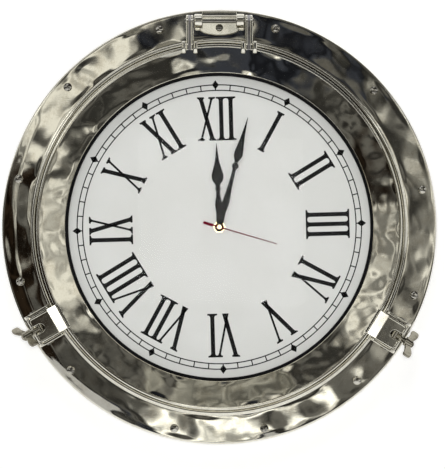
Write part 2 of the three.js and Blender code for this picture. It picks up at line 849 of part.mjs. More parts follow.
const dialFace = tube(bushRadius + seat, lipRadius - dialGap, dialBack, dialFront, ringSides);
place("dial_board", dialBoard(), fibreboard);
place("dial_face", dialFace, paper);
boardScrewAngles.forEach((angle, i) => {
  const solid = boardScrew().translate([0, boardScrewCircle, 0]);
  place(`board_screw_${i + 1}`, clockwise(solid, angle), steel);
});

// Hanger plate with a keyhole: the slot's round top is the seat of the wall hook.
function hangerPlate() {
  const half = hangerWidth / 2;
  const corner = hangerCornerRadius;
  const slotRadius = hookSlotWidth / 2;
  const slotCentre = hookDrop - slotRadius;
  const bottom = slotCentre - hookSlotLength - hookHoleRadius - corner;
  const top = bottom + hangerHeight;
  const neck = Math.asin(slotRadius / hookHoleRadius) / degree;
  const outline = [
    ...arc(half - corner, bottom + corner, corner, 270, 360, 2),
    ...arc(half - corner, top - corner, corner, 0, 90, 2),
    ...arc(corner - half, top - corner, corner, 90, 180, 2),
    ...arc(corner - half, bottom + corner, corner, 180, 270, 2),
  ];
  const keyhole = [
    ...arc(0, slotCentre, slotRadius, 0, 180, 6),
    ...arc(0, slotCentre - hookSlotLength, hookHoleRadius, 90 + neck, 450 - neck, 10),
  ];
  const rivetHoles = [-hangerBossSpacing / 2, hangerBossSpacing / 2].map((x) =>
    circle(x, hangerBossRise, hangerRivetRadius + seat, arbourSides),
  );
  return slab(outline, hangerBack, hangerFront, [keyhole, ...rivetHoles]);
}

function hangerRivet(x) {
  const under = hangerBack - seat;
  const head = rod(hangerRivetHeadRadius, under - hangerRivetHeadHeight, under, pinSides);
  const end = hangerBossEnd + hangerRivetDepth - seat;
  return head.add(rod(hangerRivetRadius, under - seat, end, arbourSides))
    .translate([x, hangerBossRise, 0]);
}

place("hanger_plate", hangerPlate(), steel);
place("hanger_rivet_left", hangerRivet(-hangerBossSpacing / 2), steel);
place("hanger_rivet_right", hangerRivet(hangerBossSpacing / 2), steel);

// Movement case: a tray with a bay for the cell that is open behind, and a front plate.
const trayBack = coverFront - movementDepth;
const trayInnerFloor = trayBack + trayFloor;
const coverBack = coverFront - coverThickness;
const trayEnd = coverBack - seat;
const bayBottom = trayBottom + trayWall;
const bayWall = trayBottom + bayHeight + 2 * trayWall;
const bayTop = bayWall - trayWall;
const bushEnd = dialFront + bushProud;
const hourHandDepth = bushEnd + hourHandGap;
const minuteHandDepth = hourHandDepth + minuteHandStep;
const secondHandDepth = minuteHandDepth + secondHandStep;
const level = {};
for (const [wheel, above] of Object.entries(rise)) level[wheel] = trayInnerFloor + above;
const cellRise = (bayBottom + bayTop) / 2;
const cellDepth = trayInnerFloor + seat + cellRadius;
const arbourStart = trayInnerFloor + seat;
const arbourEnd = coverBack - seat;

// Places of the wheels: each distance follows from the teeth of the pair in mesh.
function polar(angle, distance, [x, y] = [0, 0]) {
  return [x + distance * Math.cos(angle * degree), y + distance * Math.sin(angle * degree)];
}

const spread = (a, b, module) => ((a + b) * module) / 2;
const fourthPlace = polar(fourthAngle, spread(teeth.secondWheel, teeth.fourthPinion, secondTrainModule));
const rotorPlace = polar(fourthAngle, spread(teeth.fourthWheel, teeth.rotor, rotorModule), fourthPlace);
const thirdSpread = spread(teeth.secondPinion, teeth.thirdWheel, thirdSlowModule);
const thirdPlace = polar(thirdAngle, thirdSpread);
const centreModule = (2 * thirdSpread) / (teeth.centreWheel + teeth.thirdPinion);
const motionSpread = spread(teeth.cannonPinion, teeth.motionWheel, motionModule);
const motionPlace = polar(motionAngle, motionSpread);
const settingPlace = polar(
  settingAngle, spread(teeth.motionWheel, teeth.settingPinion, motionModule), motionPlace,
);

function movementTray() {
  const outer = block(-trayHalfWidth, trayHalfWidth, trayBottom, trayTop, trayBack, trayEnd);
  const inner = trayHalfWidth - trayWall;
  const end = trayEnd + overrun;
  const train = block(-inner, inner, bayWall, trayTop - trayWall, trayInnerFloor, end);
  const bay = block(-inner, inner, bayBottom, bayTop, trayBack - overrun, end);
  const settingHole = rod(
    arbourRadius + slide, trayBack - overrun, trayInnerFloor + overrun, arbourSides,
  );
  return cut(outer, train, bay, settingHole.translate([...settingPlace, 0]));
}

function movementCover() {
  const half = trayHalfWidth;
  return join(
    block(-half, half, trayBottom, trayTop, coverBack, coverFront),
    rod(bushRadius, coverBack, bushEnd, boltSides),
  ).subtract(rod(bushBoreRadius, coverBack - overrun, bushEnd + overrun, boltSides));
}

function bushNut() {
  const from = dialFront + seat;
  const cornerRadius = bushNutAcrossFlats / 2 / Math.cos(turn / 12);
  return slab(
    circle(0, 0, cornerRadius, 6), from, from + bushNutThickness,
    [circle(0, 0, bushRadius + slide, boltSides)],
  );
}

place("movement_case", movementTray(), blackPlastic);
place("movement_cover", movementCover(), blackPlastic);
place("bush_nut", bushNut(), brass);

// The dry cell lies across the bay, between two sprung contacts.
const cellHalf = cellLength / 2;
const cell = join(
  crossRod(cellRadius, -cellHalf, cellHalf, cellRise, cellDepth, boltSides),
  crossRod(cellNubRadius, cellHalf - seat, cellHalf + cellNubLength, cellRise, cellDepth, arbourSides),
);
const contact = block(
  0, contactThickness, cellRise - contactWidth / 2, cellRise + contactWidth / 2,
  trayInnerFloor, trayInnerFloor + contactHeight,
);
place("battery", cell, steel);
place("contact_positive", contact.translate([cellHalf + cellNubLength + seat, 0, 0]), brass);
place("contact_negative", contact.translate([-cellHalf - seat - contactThickness, 0, 0]), brass);

// Circuit board, stepping coil and stator, on the left and the right of the train.
const chipEdge = trayHalfWidth - trayWall - boardChipInset;
const chipTop = trayTop - trayWall - boardChipInset;
const chip = block(
  chipEdge - boardChipWidth, chipEdge, chipTop - boardChipHeight, chipTop,
  arbourEnd - boardChipThickness, arbourEnd,
);
place("circuit_board", chip, green);

const coilPlace = -trayHalfWidth + trayWall + coilRadius + boardChipInset;
const statorFrom = level.centre;
const statorTo = statorFrom + statorThickness;
const coilDepth = statorTo + seat + coilCoreThickness / 2;
const magnetGap = magnetRadius + slide * 2;

function stator() {
  const left = coilPlace - coilCoreWidth;
  const right = rotorPlace[0] + magnetGap + coilCoreThickness;
  const inner = coilPlace + coilRadius + slide;
  const outline = [
    [left, -statorHalfHeight],
    [right, -statorHalfHeight],
    [right, statorHalfHeight],
    [left, statorHalfHeight],
    [left, statorHalfHeight - statorArm],
    [inner, statorHalfHeight - statorArm],
    [inner, statorArm - statorHalfHeight],
    [left, statorArm - statorHalfHeight],
  ];
  return slab(outline, statorFrom, statorTo, [circle(...rotorPlace, magnetGap, shaftSides)]);
}

function coil() {
  const core = coilCoreWidth / 2;
  const end = statorHalfHeight - statorInset / 2;
  const winding = rod(coilRadius, -coilLength / 2, coilLength / 2, boltSides).rotate([90, 0, 0]);
  const bar = block(-core, core, -end, end, -coilCoreThickness / 2, coilCoreThickness / 2);
  return winding.add(bar).translate([coilPlace, 0, coilDepth]);
}

place("stator", stator(), steel);
place("coil", coil(), copper);

// A toothed wheel: its outline runs between a tip circle and a root circle, two points to a tooth.
function toothed(count, module, from, to, phase, bore = 0) {
  const pitch = (count * module) / 2;
  const radii = [pitch + toothTip * module, pitch - toothRoot * module];
  const outline = Array.from({ length: 2 * count }, (_, i) =>
    polar(phase + (i * 180) / count, radii[i % 2]),
  );
  const holes = bore > 0 ? [circle(0, 0, bore, shaftSides)] : [];
  return slab(outline, from, to, holes);
}

// The angle that puts a follower in mesh: its gap faces the tooth of the wheel it follows.
function meshPhase(phase, count, direction, followerCount) {
  const ahead = ((phase - direction) * count) / followerCount;
  return direction + 180 + 180 / followerCount - ahead;
}

// An arbour with a wheel and a pinion above it, as one moulding.
function wheelSet(wheel, pinion, centre, from, to) {
  const arbour = rod(arbourRadius, from, to, arbourSides);
  return join(arbour, wheel, pinion).translate([...centre, 0]);
}

function wheelAt(count, module, depth, phase, bore) {
  return toothed(count, module, depth, depth + wheelThickness, phase, bore);
}

function pinionAt(count, module, depth, phase, reach, bore) {
  return toothed(count, module, depth, depth + wheelThickness + reach, phase, bore);
}

const pinionReach = (pinionLength - wheelThickness) / 2;
const rotorPhase = meshPhase(0, teeth.fourthWheel, fourthAngle, teeth.rotor);
const magnetFrom = statorFrom - (magnetLength - statorThickness) / 2;
place(
  "rotor",
  wheelSet(
    pinionAt(teeth.rotor, rotorModule, level.rotor, rotorPhase, pinionReach),
    rod(magnetRadius, magnetFrom, magnetFrom + magnetLength, shaftSides),
    rotorPlace, arbourStart, arbourEnd,
  ),
  darkNickel,
);

const fourthPhase = meshPhase(0, teeth.secondWheel, fourthAngle, teeth.fourthPinion);
const fourthPinionReach = level.second - level.rotor - wheelThickness + pinionReach;
place(
  "fourth_wheel",
  wheelSet(
    wheelAt(teeth.fourthWheel, rotorModule, level.rotor, 0),
    pinionAt(
      teeth.fourthPinion, secondTrainModule, level.rotor + wheelThickness, fourthPhase,
      fourthPinionReach,
    ),
    fourthPlace, arbourStart, arbourEnd,
  ),
  whitePlastic,
);

const secondShaftEnd = secondHandDepth + handThickness;
const secondPinionReach = level.third - level.second - wheelThickness + pinionReach;
place(
  "second_wheel",
  join(
    rod(secondShaftRadius, arbourStart, secondShaftEnd, arbourSides),
    wheelAt(teeth.secondWheel, secondTrainModule, level.second, 0),
    pinionAt(
      teeth.secondPinion, thirdSlowModule, level.second + wheelThickness, 0, secondPinionReach,
    ),
  ),
  whitePlastic,
);

const thirdPhase = meshPhase(0, teeth.secondPinion, thirdAngle, teeth.thirdWheel);
const thirdPinionPhase = meshPhase(0, teeth.centreWheel, thirdAngle, teeth.thirdPinion);
const thirdPinionReach = level.centre - level.third - wheelThickness + pinionReach;
place(
  "third_wheel",
  wheelSet(
    wheelAt(teeth.thirdWheel, thirdSlowModule, level.third, thirdPhase),
    pinionAt(
      teeth.thirdPinion, centreModule, level.third + wheelThickness, thirdPinionPhase,
      thirdPinionReach,
    ),
    thirdPlace, arbourStart, arbourEnd,
  ),
  whitePlastic,
);

// The centre wheel slips on the minute shaft, so that the hands can be set.
const minuteShaftEnd = minuteHandDepth + handThickness + shaftProud;
const hourShaftEnd = hourHandDepth + handThickness + shaftProud;
place(
  "centre_wheel",
  wheelAt(teeth.centreWheel, centreModule, level.centre, 0, minuteShaftRadius + slide),
  whitePlastic,
);

const cannonFrom = level.motion - pinionReach;
place(
  "minute_shaft",
  join(
    tube(minuteBoreRadius, minuteShaftRadius, level.centre, minuteShaftEnd, shaftSides),
    toothed(
      teeth.cannonPinion, motionModule, cannonFrom, cannonFrom + pinionLength, 0, minuteBoreRadius,
    ),
  ),
  whitePlastic,
);

const motionPhase = meshPhase(0, teeth.cannonPinion, motionAngle, teeth.motionWheel);
const hourModuleInMesh = (2 * motionSpread) / (teeth.hourWheel + teeth.motionPinion);
const motionPinionPhase = meshPhase(0, teeth.hourWheel, motionAngle, teeth.motionPinion);
const motionPinionReach = level.hour - level.motion - wheelThickness + pinionReach;
place(
  "motion_wheel",
  wheelSet(
    wheelAt(teeth.motionWheel, motionModule, level.motion, motionPhase),
    pinionAt(
      teeth.motionPinion, hourModuleInMesh, level.motion + wheelThickness, motionPinionPhase,
      motionPinionReach,
    ),
    motionPlace, level.motion - seat, arbourEnd,
  ),
  whitePlastic,
);

place(
  "hour_wheel",
  join(
    wheelAt(teeth.hourWheel, hourModuleInMesh, level.hour, 0, hourBoreRadius),
    tube(hourBoreRadius, hourShaftRadius, level.hour, hourShaftEnd, shaftSides),
  ),
  whitePlastic,
);

const settingPhase = meshPhase(motionPhase, teeth.motionWheel, settingAngle, teeth.settingPinion);
place(
  "setting_knob",
  wheelSet(
    pinionAt(teeth.settingPinion, motionModule, level.motion, settingPhase, 0),
    rod(knobRadius, trayBack - seat - knobThickness, trayBack - seat, boltSides),
    settingPlace, trayBack - seat - knobThickness, arbourEnd,
  ),
  whitePlastic,
);

// Hands: flat spade hands, each pressed on its shaft, and a thin second hand with a brass cap.
function bladeOutline(hand, shares) {
  const half = hand.width / 2;
  const right = shares.map(([along, wide]) => [wide * half, along * hand.length]);
  const left = right.map(([x, y]) => [-x, y]).reverse();
  return [...right, ...left];
}

function spadeHand(hand, shares, from, shaft) {
  const to = from + handThickness;
  const blade = slab(bladeOutline(hand, shares), from, to);
  const hub = rod(handHubRadius, from, to, boltSides);
  const bore = rod(shaft + seat / 2, from - overrun, to + overrun, shaftSides);
  return clockwise(join(blade, hub).subtract(bore), hand.angle);
}

place(
  "hour_hand",
  spadeHand(hourHand, hourOutlineShares, hourHandDepth, hourShaftRadius),
  blackPaint,
);
place(
  "minute_hand",
  spadeHand(minuteHand, minuteOutlineShares, minuteHandDepth, minuteShaftRadius),
  blackPaint,
);

function sweepHand() {
  const half = secondHand.width / 2;
  const blockHalf = secondHand.block / 2;
  const blockStart = secondHand.blockLength - secondHand.tail;
  const outline = [
    [half, 0],
    [half / 2, secondHand.length],
    [-half / 2, secondHand.length],
    [-half, 0],
    [-half, blockStart],
    [-blockHalf, blockStart],
    [-blockHalf, -secondHand.tail],
    [blockHalf, -secondHand.tail],
    [blockHalf, blockStart],
    [half, blockStart],
  ];
  const to = secondHandDepth + handThickness;
  const cap = rod(secondCapRadius, secondHandDepth, to + secondCapHeight, boltSides);
  const socket = rod(
    secondShaftRadius + seat / 2, secondHandDepth - overrun, to + seat, arbourSides,
  );
  return clockwise(join(slab(outline, secondHandDepth, to), cap).subtract(socket), secondHand.angle);
}

place("second_hand", sweepHand(), redPaint);

export default clock;
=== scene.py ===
"""Looks of the porthole clock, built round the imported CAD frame.

Every length is in millimetres in the clock's own frame: x to the right, y up from the middle of the
dial, and depth out from the wall. placed() turns that into the metres of the CAD frame.
"""

import bmesh
import bpy
import numpy as np
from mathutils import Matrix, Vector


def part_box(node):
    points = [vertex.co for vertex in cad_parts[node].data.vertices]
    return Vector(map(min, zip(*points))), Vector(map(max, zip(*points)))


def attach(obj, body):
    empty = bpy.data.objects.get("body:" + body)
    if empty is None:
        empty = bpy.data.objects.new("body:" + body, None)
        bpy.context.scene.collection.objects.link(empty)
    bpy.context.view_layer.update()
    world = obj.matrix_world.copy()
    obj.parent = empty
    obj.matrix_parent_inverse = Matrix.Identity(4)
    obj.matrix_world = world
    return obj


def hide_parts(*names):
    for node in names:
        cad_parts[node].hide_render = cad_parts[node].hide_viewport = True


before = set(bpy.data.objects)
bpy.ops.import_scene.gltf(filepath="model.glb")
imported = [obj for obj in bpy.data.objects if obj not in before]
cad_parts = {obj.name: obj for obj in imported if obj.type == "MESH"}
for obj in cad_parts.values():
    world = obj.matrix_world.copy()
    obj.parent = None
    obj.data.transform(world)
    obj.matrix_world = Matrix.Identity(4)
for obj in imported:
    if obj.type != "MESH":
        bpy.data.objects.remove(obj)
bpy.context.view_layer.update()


# View. The clock hangs flat on a wall and is seen straight on from two and a half metres.
# The lens takes in the same breadth of wall as the photograph does.

dial_low, dial_high = (np.array(corner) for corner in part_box("dial_face"))
dial_middle = (dial_low + dial_high) / 2


def placed(points):
    """Clock millimetres (x, y, depth) as metres of the CAD frame: (x, -depth, y above the origin)."""
    x, y, depth = np.moveaxis(np.asarray(points, float), -1, 0)
    return np.stack([x, -depth, y], -1) / 1000 + [dial_middle[0], 0, dial_middle[2]]


view_distance = 2506
view_camera = bpy.data.cameras.new("view")
view_camera.lens = 163
view_camera.sensor_width = 36
view_camera.clip_start = 0.05
view_object = bpy.data.objects.new("view", view_camera)
view_object.location = placed([3.7, -8.7, view_distance])
view_object.rotation_euler = (np.pi / 2, 0, 0)
bpy.context.scene.collection.objects.link(view_object)
bpy.context.scene.camera = view_object
bpy.context.scene.view_settings.view_transform = "Standard"


# Room. A white wall close behind the clock and a pale floor far below it, both plain and matt.
# The wall keeps the clock's soft shadow, and lets light and sight through from behind.

wall_gap = 1.5
wall_reach = 2400
floor_drop = 1150
wall_colour = (0.80, 0.80, 0.80, 1)
wall_glow = 0.35


def add(tree, kind, inputs=None, **settings):
    """A node of one kind in the tree: inputs maps a socket's name or number to a value or to the
    socket that feeds it, and settings are the node's own properties."""
    node = tree.nodes.new(kind)
    for key, value in settings.items():
        setattr(node, key, value)
    for key, value in (inputs or {}).items():
        if isinstance(value, bpy.types.NodeSocket):
            tree.links.new(value, node.inputs[key])
        else:
            node.inputs[key].default_value = value
    return node


def reckoned(tree, operation, *values):
    """Number that one Math node works out from up to three numbers or sockets."""
    return add(tree, "ShaderNodeMath", dict(enumerate(values)), operation=operation).outputs[0]


def new_material(name):
    """An empty node material, and the tree that its nodes go in."""
    material = bpy.data.materials.new(name)
    material.use_nodes = True
    material.node_tree.nodes.clear()
    return material, material.node_tree


def wall_paint():
    """Matt white that also glows a little for the camera, for mirrors and through glass, so that it
    reads as white while the shadow on it stays. It isn't there from behind."""
    material, tree = new_material("wall_paint")
    path = add(tree, "ShaderNodeLightPath").outputs
    seen = reckoned(tree, "MAXIMUM", path["Is Camera Ray"], path["Is Glossy Ray"])
    seen = reckoned(tree, "MAXIMUM", seen, path["Is Transmission Ray"])
    matt = add(tree, "ShaderNodeBsdfDiffuse", {"Color": wall_colour})
    glow = add(tree, "ShaderNodeEmission", {"Color": (1, 1, 1, 1), "Strength": wall_glow})
    bright = add(tree, "ShaderNodeAddShader", {0: matt.outputs[0], 1: glow.outputs[0]})
    front = add(tree, "ShaderNodeMixShader", {0: seen, 1: matt.outputs[0], 2: bright.outputs[0]})
    nothing = add(tree, "ShaderNodeBsdfTransparent")
    back = add(tree, "ShaderNodeNewGeometry").outputs["Backfacing"]
    both = add(tree, "ShaderNodeMixShader", {0: back, 1: front.outputs[0], 2: nothing.outputs[0]})
    add(tree, "ShaderNodeOutputMaterial", {"Surface": both.outputs[0]})
    return material


def stage_sheet(name, corners, material):
    """A flat four-cornered sheet of the room. Its front is the side from which its corners run
    anticlockwise."""
    mesh = bpy.data.meshes.new(name)
    mesh.from_pydata(placed(corners), [], [(0, 1, 2, 3)])
    mesh.materials.append(material)
    sheet = bpy.data.objects.new(name, mesh)
    bpy.context.scene.collection.objects.link(sheet)


plain_white = wall_paint()
stage_sheet("wall", [(-wall_reach, -floor_drop, -wall_gap), (wall_reach, -floor_drop, -wall_gap),
                     (wall_reach, wall_reach, -wall_gap), (-wall_reach, wall_reach, -wall_gap)],
            plain_white)
stage_sheet("floor", [(-wall_reach, -floor_drop, -wall_reach), (-wall_reach, -floor_drop, 2 * wall_reach),
                      (wall_reach, -floor_drop, 2 * wall_reach), (wall_reach, -floor_drop, -wall_reach)],
            plain_white)


# Light. Four plain soft lamps: at the upper left, at the right, in front and above. The studio round
# them is a dim grey with a few broad pale and dark cards, as polished metal shows what stands there.

studio_grey = (0.07, 0.068, 0.062, 1)
bright_card, lamp_white, lit_card = (1.9, 1.88, 1.80), (1.0, 1.0, 1.0), (0.85, 0.84, 0.78)
pale_card, grey_card = (0.45, 0.44, 0.40), (0.20, 0.195, 0.17)
dark_card, brown_card = (0.02, 0.022, 0.028), (0.012, 0.008, 0.005)
studio_cards = [  # degrees right and up from the camera, size in degrees, colour
    (3, -32, 9, grey_card), (30, 6, 8, pale_card), (-31, 17, 9, lit_card), (0, -21, 8, pale_card),
    (-19, -4, 10, brown_card), (0, 12, 5, grey_card), (11, 1, 6, pale_card), (-11, 3, 5, pale_card),
    (-2, -12, 5, dark_card), (2, 6, 3, dark_card), (0, -6, 3, lit_card), (-6, -1, 2, brown_card),
    (-4, 5, 3, pale_card), (16.3, 9.6, 3.8, bright_card), (-16.3, 9.6, 3.8, bright_card),
    (0, 62, 14, lamp_white), (-62, 18, 13, lamp_white), (64, 4, 11, lamp_white),
]
card_full, card_end = 0.72, 1.15  # shares of its size where a card starts to fade and ends
wobble_scale, wobble_reach = 14, 0.07  # bends the cards' edges
mottle_scale = 19.0  # light and dark spots about three degrees wide
mottle_dark, mottle_light = 0.44, 2.0  # the spots' shares of the light near the camera
mottle_near, mottle_far = 0.45, 0.9  # how far from the camera's direction the spots start to fade and end
mottle_low, mottle_high = 0.41, 0.59  # noise values of the darkest and the lightest spots
lamp_colour = (1, 1, 0.985)


def toward(right, up):
    """Unit vector from the clock that many degrees right and up of the way to the camera."""
    right, up = np.radians([right, up])
    return np.array([np.sin(right) * np.cos(up), -np.cos(right) * np.cos(up), np.sin(up)])


def mixed(tree, share, first, second):
    """Colour that goes from first to second as share goes from 0 to 1."""
    return add(tree, "ShaderNodeMix", {0: share, 6: first, 7: second}, data_type="RGBA").outputs[2]


def noise(tree, where, scale, detail, roughness=0.5):
    """Noise from 0 to 1 by place, with that many spots to one unit of it."""
    return add(tree, "ShaderNodeTexNoise", {"Vector": where, "Scale": scale, "Detail": detail,
               "Roughness": roughness}).outputs["Fac"]


def ranged(tree, value, low, high, first=0.0, second=1.0, kind="LINEAR"):
    """Number that goes from first to second as value goes from low to high, and no further."""
    return add(tree, "ShaderNodeMapRange", {"Value": value, "From Min": low, "From Max": high,
               "To Min": first, "To Max": second}, interpolation_type=kind).outputs[0]


def studio():
    """Light from each direction: a grey, changed towards each card's colour by how near the
    direction is to the card's middle, and then mottled by noise, less so far from the camera's
    direction. The camera itself sees white."""
    world = bpy.data.worlds.new("studio")
    bpy.context.scene.world = world
    world.use_nodes = True
    tree = world.node_tree
    tree.nodes.clear()
    way = add(tree, "ShaderNodeTexCoord").outputs["Generated"]
    wobble = add(tree, "ShaderNodeTexNoise", {"Vector": way, "Scale": wobble_scale, "Detail": 2.0})
    shift = add(tree, "ShaderNodeVectorMath", {0: wobble.outputs["Color"], 1: (0.5, 0.5, 0.5)},
                operation="SUBTRACT").outputs[0]
    shift = add(tree, "ShaderNodeVectorMath", {0: shift, "Scale": wobble_reach}, operation="SCALE").outputs[0]
    bent = add(tree, "ShaderNodeVectorMath", {0: way, 1: shift}).outputs[0]
    colour = add(tree, "ShaderNodeRGB").outputs[0]
    colour.default_value = studio_grey
    for right, up, size, tint in studio_cards:
        near = add(tree, "ShaderNodeVectorMath", {0: bent, 1: toward(right, up)}, operation="DISTANCE")
        edge = np.radians(size)
        share = ranged(tree, near.outputs["Value"], card_full * edge, card_end * edge, 1.0, 0.0,
                       "SMOOTHSTEP")
        colour = mixed(tree, share, colour, (*tint, 1))
    mottle = add(tree, "ShaderNodeTexNoise", {"Vector": way, "Scale": mottle_scale, "Detail": 2.0,
                 "Roughness": 0.5, "Distortion": 0.8}).outputs["Fac"]
    aside = add(tree, "ShaderNodeVectorMath", {0: way, 1: toward(0, 0)}, operation="DISTANCE")
    low, high = (ranged(tree, aside.outputs["Value"], mottle_near, mottle_far, share)
                 for share in (mottle_dark, mottle_light))
    mottle = ranged(tree, mottle, mottle_low, mottle_high, low, high)
    lit = add(tree, "ShaderNodeVectorMath", {0: colour, "Scale": mottle}, operation="SCALE")
    glow = add(tree, "ShaderNodeBackground", {"Color": lit.outputs[0]})
    white = add(tree, "ShaderNodeBackground", {"Color": (1, 1, 1, 1)})
    path = add(tree, "ShaderNodeLightPath").outputs
    seen = reckoned(tree, "MAXIMUM", path["Is Camera Ray"], path["Is Transmission Ray"])
    both = add(tree, "ShaderNodeMixShader", {0: seen, 1: glow.outputs[0], 2: white.outputs[0]})
    add(tree, "ShaderNodeOutputWorld", {"Surface": both.outputs[0]})


def soft_lamp(name, right, up, distance, side, power, mirrored=True):
    """A square lamp that faces the dial from that many degrees right and up of the camera. One that
    isn't mirrored only fills the shadows, and polished metal doesn't show it."""
    light = bpy.data.lights.new(name, "AREA")
    light.size = side / 1000
    light.energy = power
    light.color = lamp_colour
    lamp = bpy.data.objects.new(name, light)
    way = toward(right, up)
    lamp.location = placed([0, 0, 0]) + way * distance / 1000
    lamp.visible_glossy = mirrored
    bpy.context.scene.collection.objects.link(lamp)
    flat = np.hypot(way[0], way[1])
    lamp.rotation_euler = (np.arctan2(flat, way[2]), 0, np.arctan2(way[0], -way[1]))


studio()
soft_lamp("lamp_upper_left", -36, 42, 2100, 1100, 2.5)
soft_lamp("lamp_right", 44, 6, 2300, 900, 2)
soft_lamp("lamp_front", 0, 0.5, 2700, 400, 33, mirrored=False)
soft_lamp("lamp_above", 0, 50, 2000, 500, 5, mirrored=False)


# Base ring. A heavy nickel-plated casting: a flange for the wall, a standing collar that the door
# closes into, a ledge for the door's seal, and two pairs of ears with a rail for the latches.

base_outline = [  # radius, depth, and how far its corner is rounded
    (251, 0, 0.6), (254, 0, 0.6), (254, 25, 2.4), (218, 25, 3), (218, 44, 2.3), (213.3, 44, 2.3),
    (213.3, 30, 0.5), (200, 30, 0.5), (200, 29, 0.2), (186, 29, 0.6), (186, 26.3, 0.6),
    (197, 26.3, 0.4), (197, 6, 0.6), (200, 6, 0.6), (200, 27, 0.4), (213.3, 27, 0.4), (218, 22, 0.5),
    (251, 22, 3),
]
ring_sides = 540
ear_outline = [
    (215.65, 23.5, 0.1), (249.5, 22, 0.1), (249.5, 46.6, 7), (219, 46.6, 2), (215.65, 43, 1.6),
]
ear_inner, ear_outer = 16.3, 19.8
rail_outline = [(246.9, 22, 0.1), (249.5, 22, 0.1), (249.5, 33, 1.2), (246.9, 33, 1.2)]
latch_angles = [240.5, 121.5]
boss_places = [(-22, 225.75), (22, 225.75)]
boss_outline = np.array([(0, 4), (4.2, 4), (4.5, 4.3), (4.5, 22.5), (0, 22.5)])
flange_front, flange_inner, flange_outer = 22.5, 221, 252  # depth and radii of the uneven front
flange_fades = 4, 6  # over which its waves fade in from the inner rim and out to the outer one
flange_waves = [(0.10, 46, 3), (0.010, 19, 4)]  # height, length, seed
worn_angle, worn_radius, worn_slope = 252, 239.5, 0.105  # where the outer part falls away, and how much
worn_reach, worn_fade, worn_ease = 0.62, 0.2, 0.8  # cosines of the angle from there, and a soft start
worn_border = [(1.6, 5, 1), (1.1, 11, 2)]  # height, waves round the ring, phase
corner_low, corner_height = 22.4, 2.4
nickel_bright = (0.84, 0.82, 0.73, 1)
nickel_stain = (0.52, 0.45, 0.33, 1)
flat_margin = 0.12
sharp_angle = 32  # degrees
flat_weight = 60  # how much more a large face counts than a small one in a corner's shading


def rounded(corners, steps=4):
    """Closed outline through corners (u, v, cut): from cut before each corner to cut after it runs
    the parabola (1-s)^2 A + 2 s (1-s) C + s^2 B, with cut at most half of either side."""
    corners = np.asarray(corners, float)
    points, cuts = corners[:, :2], corners[:, 2:]
    back, ahead = np.roll(points, 1, 0) - points, np.roll(points, -1, 0) - points
    back_length = np.linalg.norm(back, axis=1, keepdims=True)
    ahead_length = np.linalg.norm(ahead, axis=1, keepdims=True)
    cuts = np.minimum(cuts, np.minimum(back_length, ahead_length) / 2)
    start, end = points + back / back_length * cuts, points + ahead / ahead_length * cuts
    share = np.linspace(0, 1, steps + 1)[None, :, None]
    curve = ((1 - share) ** 2 * start[:, None] + 2 * share * (1 - share) * points[:, None]
             + share**2 * end[:, None])
    return curve.reshape(-1, 2)


def filled(outline, spacing):
    """The same closed outline with points added along its sides, none of them longer than spacing."""
    side = np.roll(outline, -1, 0) - outline
    count = np.ceil(np.linalg.norm(side, axis=1) / spacing).astype(int).clip(1)
    index = np.repeat(np.arange(len(outline)), count)
    step = np.arange(count.sum()) - np.repeat(np.cumsum(count) - count, count)
    return outline[index] + side[index] * (step / count[index])[:, None]


def cells(rows, columns, close_rows=True, close_columns=True):
    """Corners of each cell of a grid of points, which may close on itself either way."""
    row = np.arange(rows if close_rows else rows - 1)[:, None]
    column = np.arange(columns if close_columns else columns - 1)[None, :]
    next_row, next_column = (row + 1) % rows, (column + 1) % columns
    return np.stack([row * columns + column, row * columns + next_column,
                     next_row * columns + next_column, next_row * columns + column], -1).reshape(-1, 4)


def lathe(outline, sides, shape=None):
    """Outline of radius and depth turned round the depth axis: x = r sin a and y = r cos a, with a
    clockwise from the top. An outline that starts on the axis ends there too, and any other closes on
    itself. shape(r, a, depth) may give each point another depth."""
    angle = np.linspace(0, 2 * np.pi, sides, endpoint=False)[:, None]
    radius, depth = outline[None, :, 0] + 0 * angle, outline[None, :, 1] + 0 * angle
    if shape:
        depth = shape(radius, angle + 0 * radius, depth)
    points = np.stack([radius * np.sin(angle), radius * np.cos(angle), depth], -1)
    return points.reshape(-1, 3), cells(sides, len(outline), True, outline[0, 0] > 0).tolist()


def soft(low, high, cut, steps=3):
    """Layers (inset, height) from low to high, drawn in by a quarter circle of radius cut at each
    end, with one more layer just inside each end that keeps the flat face flat."""
    turn = np.linspace(0, np.pi / 2, steps + 1)
    inset, rise = cut * (1 - np.sin(turn)), cut * (1 - np.cos(turn))
    inset, rise = np.append(cut + min(cut, flat_margin), inset), np.append(0, rise)
    first = np.stack([inset, low + rise], -1)
    return np.concatenate([first, np.stack([inset, high - rise], -1)[::-1]])


def untangled(plan, outline):
    """A drawn-in outline in which each run of sides that has turned against the first outline's, as
    at a corner rounder than the inset allows, is drawn together to the mean of its points."""
    against = np.sum((np.roll(plan, -1, 0) - plan) * (np.roll(outline, -1, 0) - outline), 1) < 0
    if not against.any():
        return plan
    first = np.flatnonzero(~against)[0] + 1
    plan, against = np.roll(plan, -first, 0), np.roll(against, -first)
    run = np.cumsum(~np.append(True, against[:-1]))
    size = np.bincount(run)
    middle = np.stack([np.bincount(run, plan[:, axis]) / size for axis in (0, 1)], -1)
    return np.roll(middle[run], first, 0)


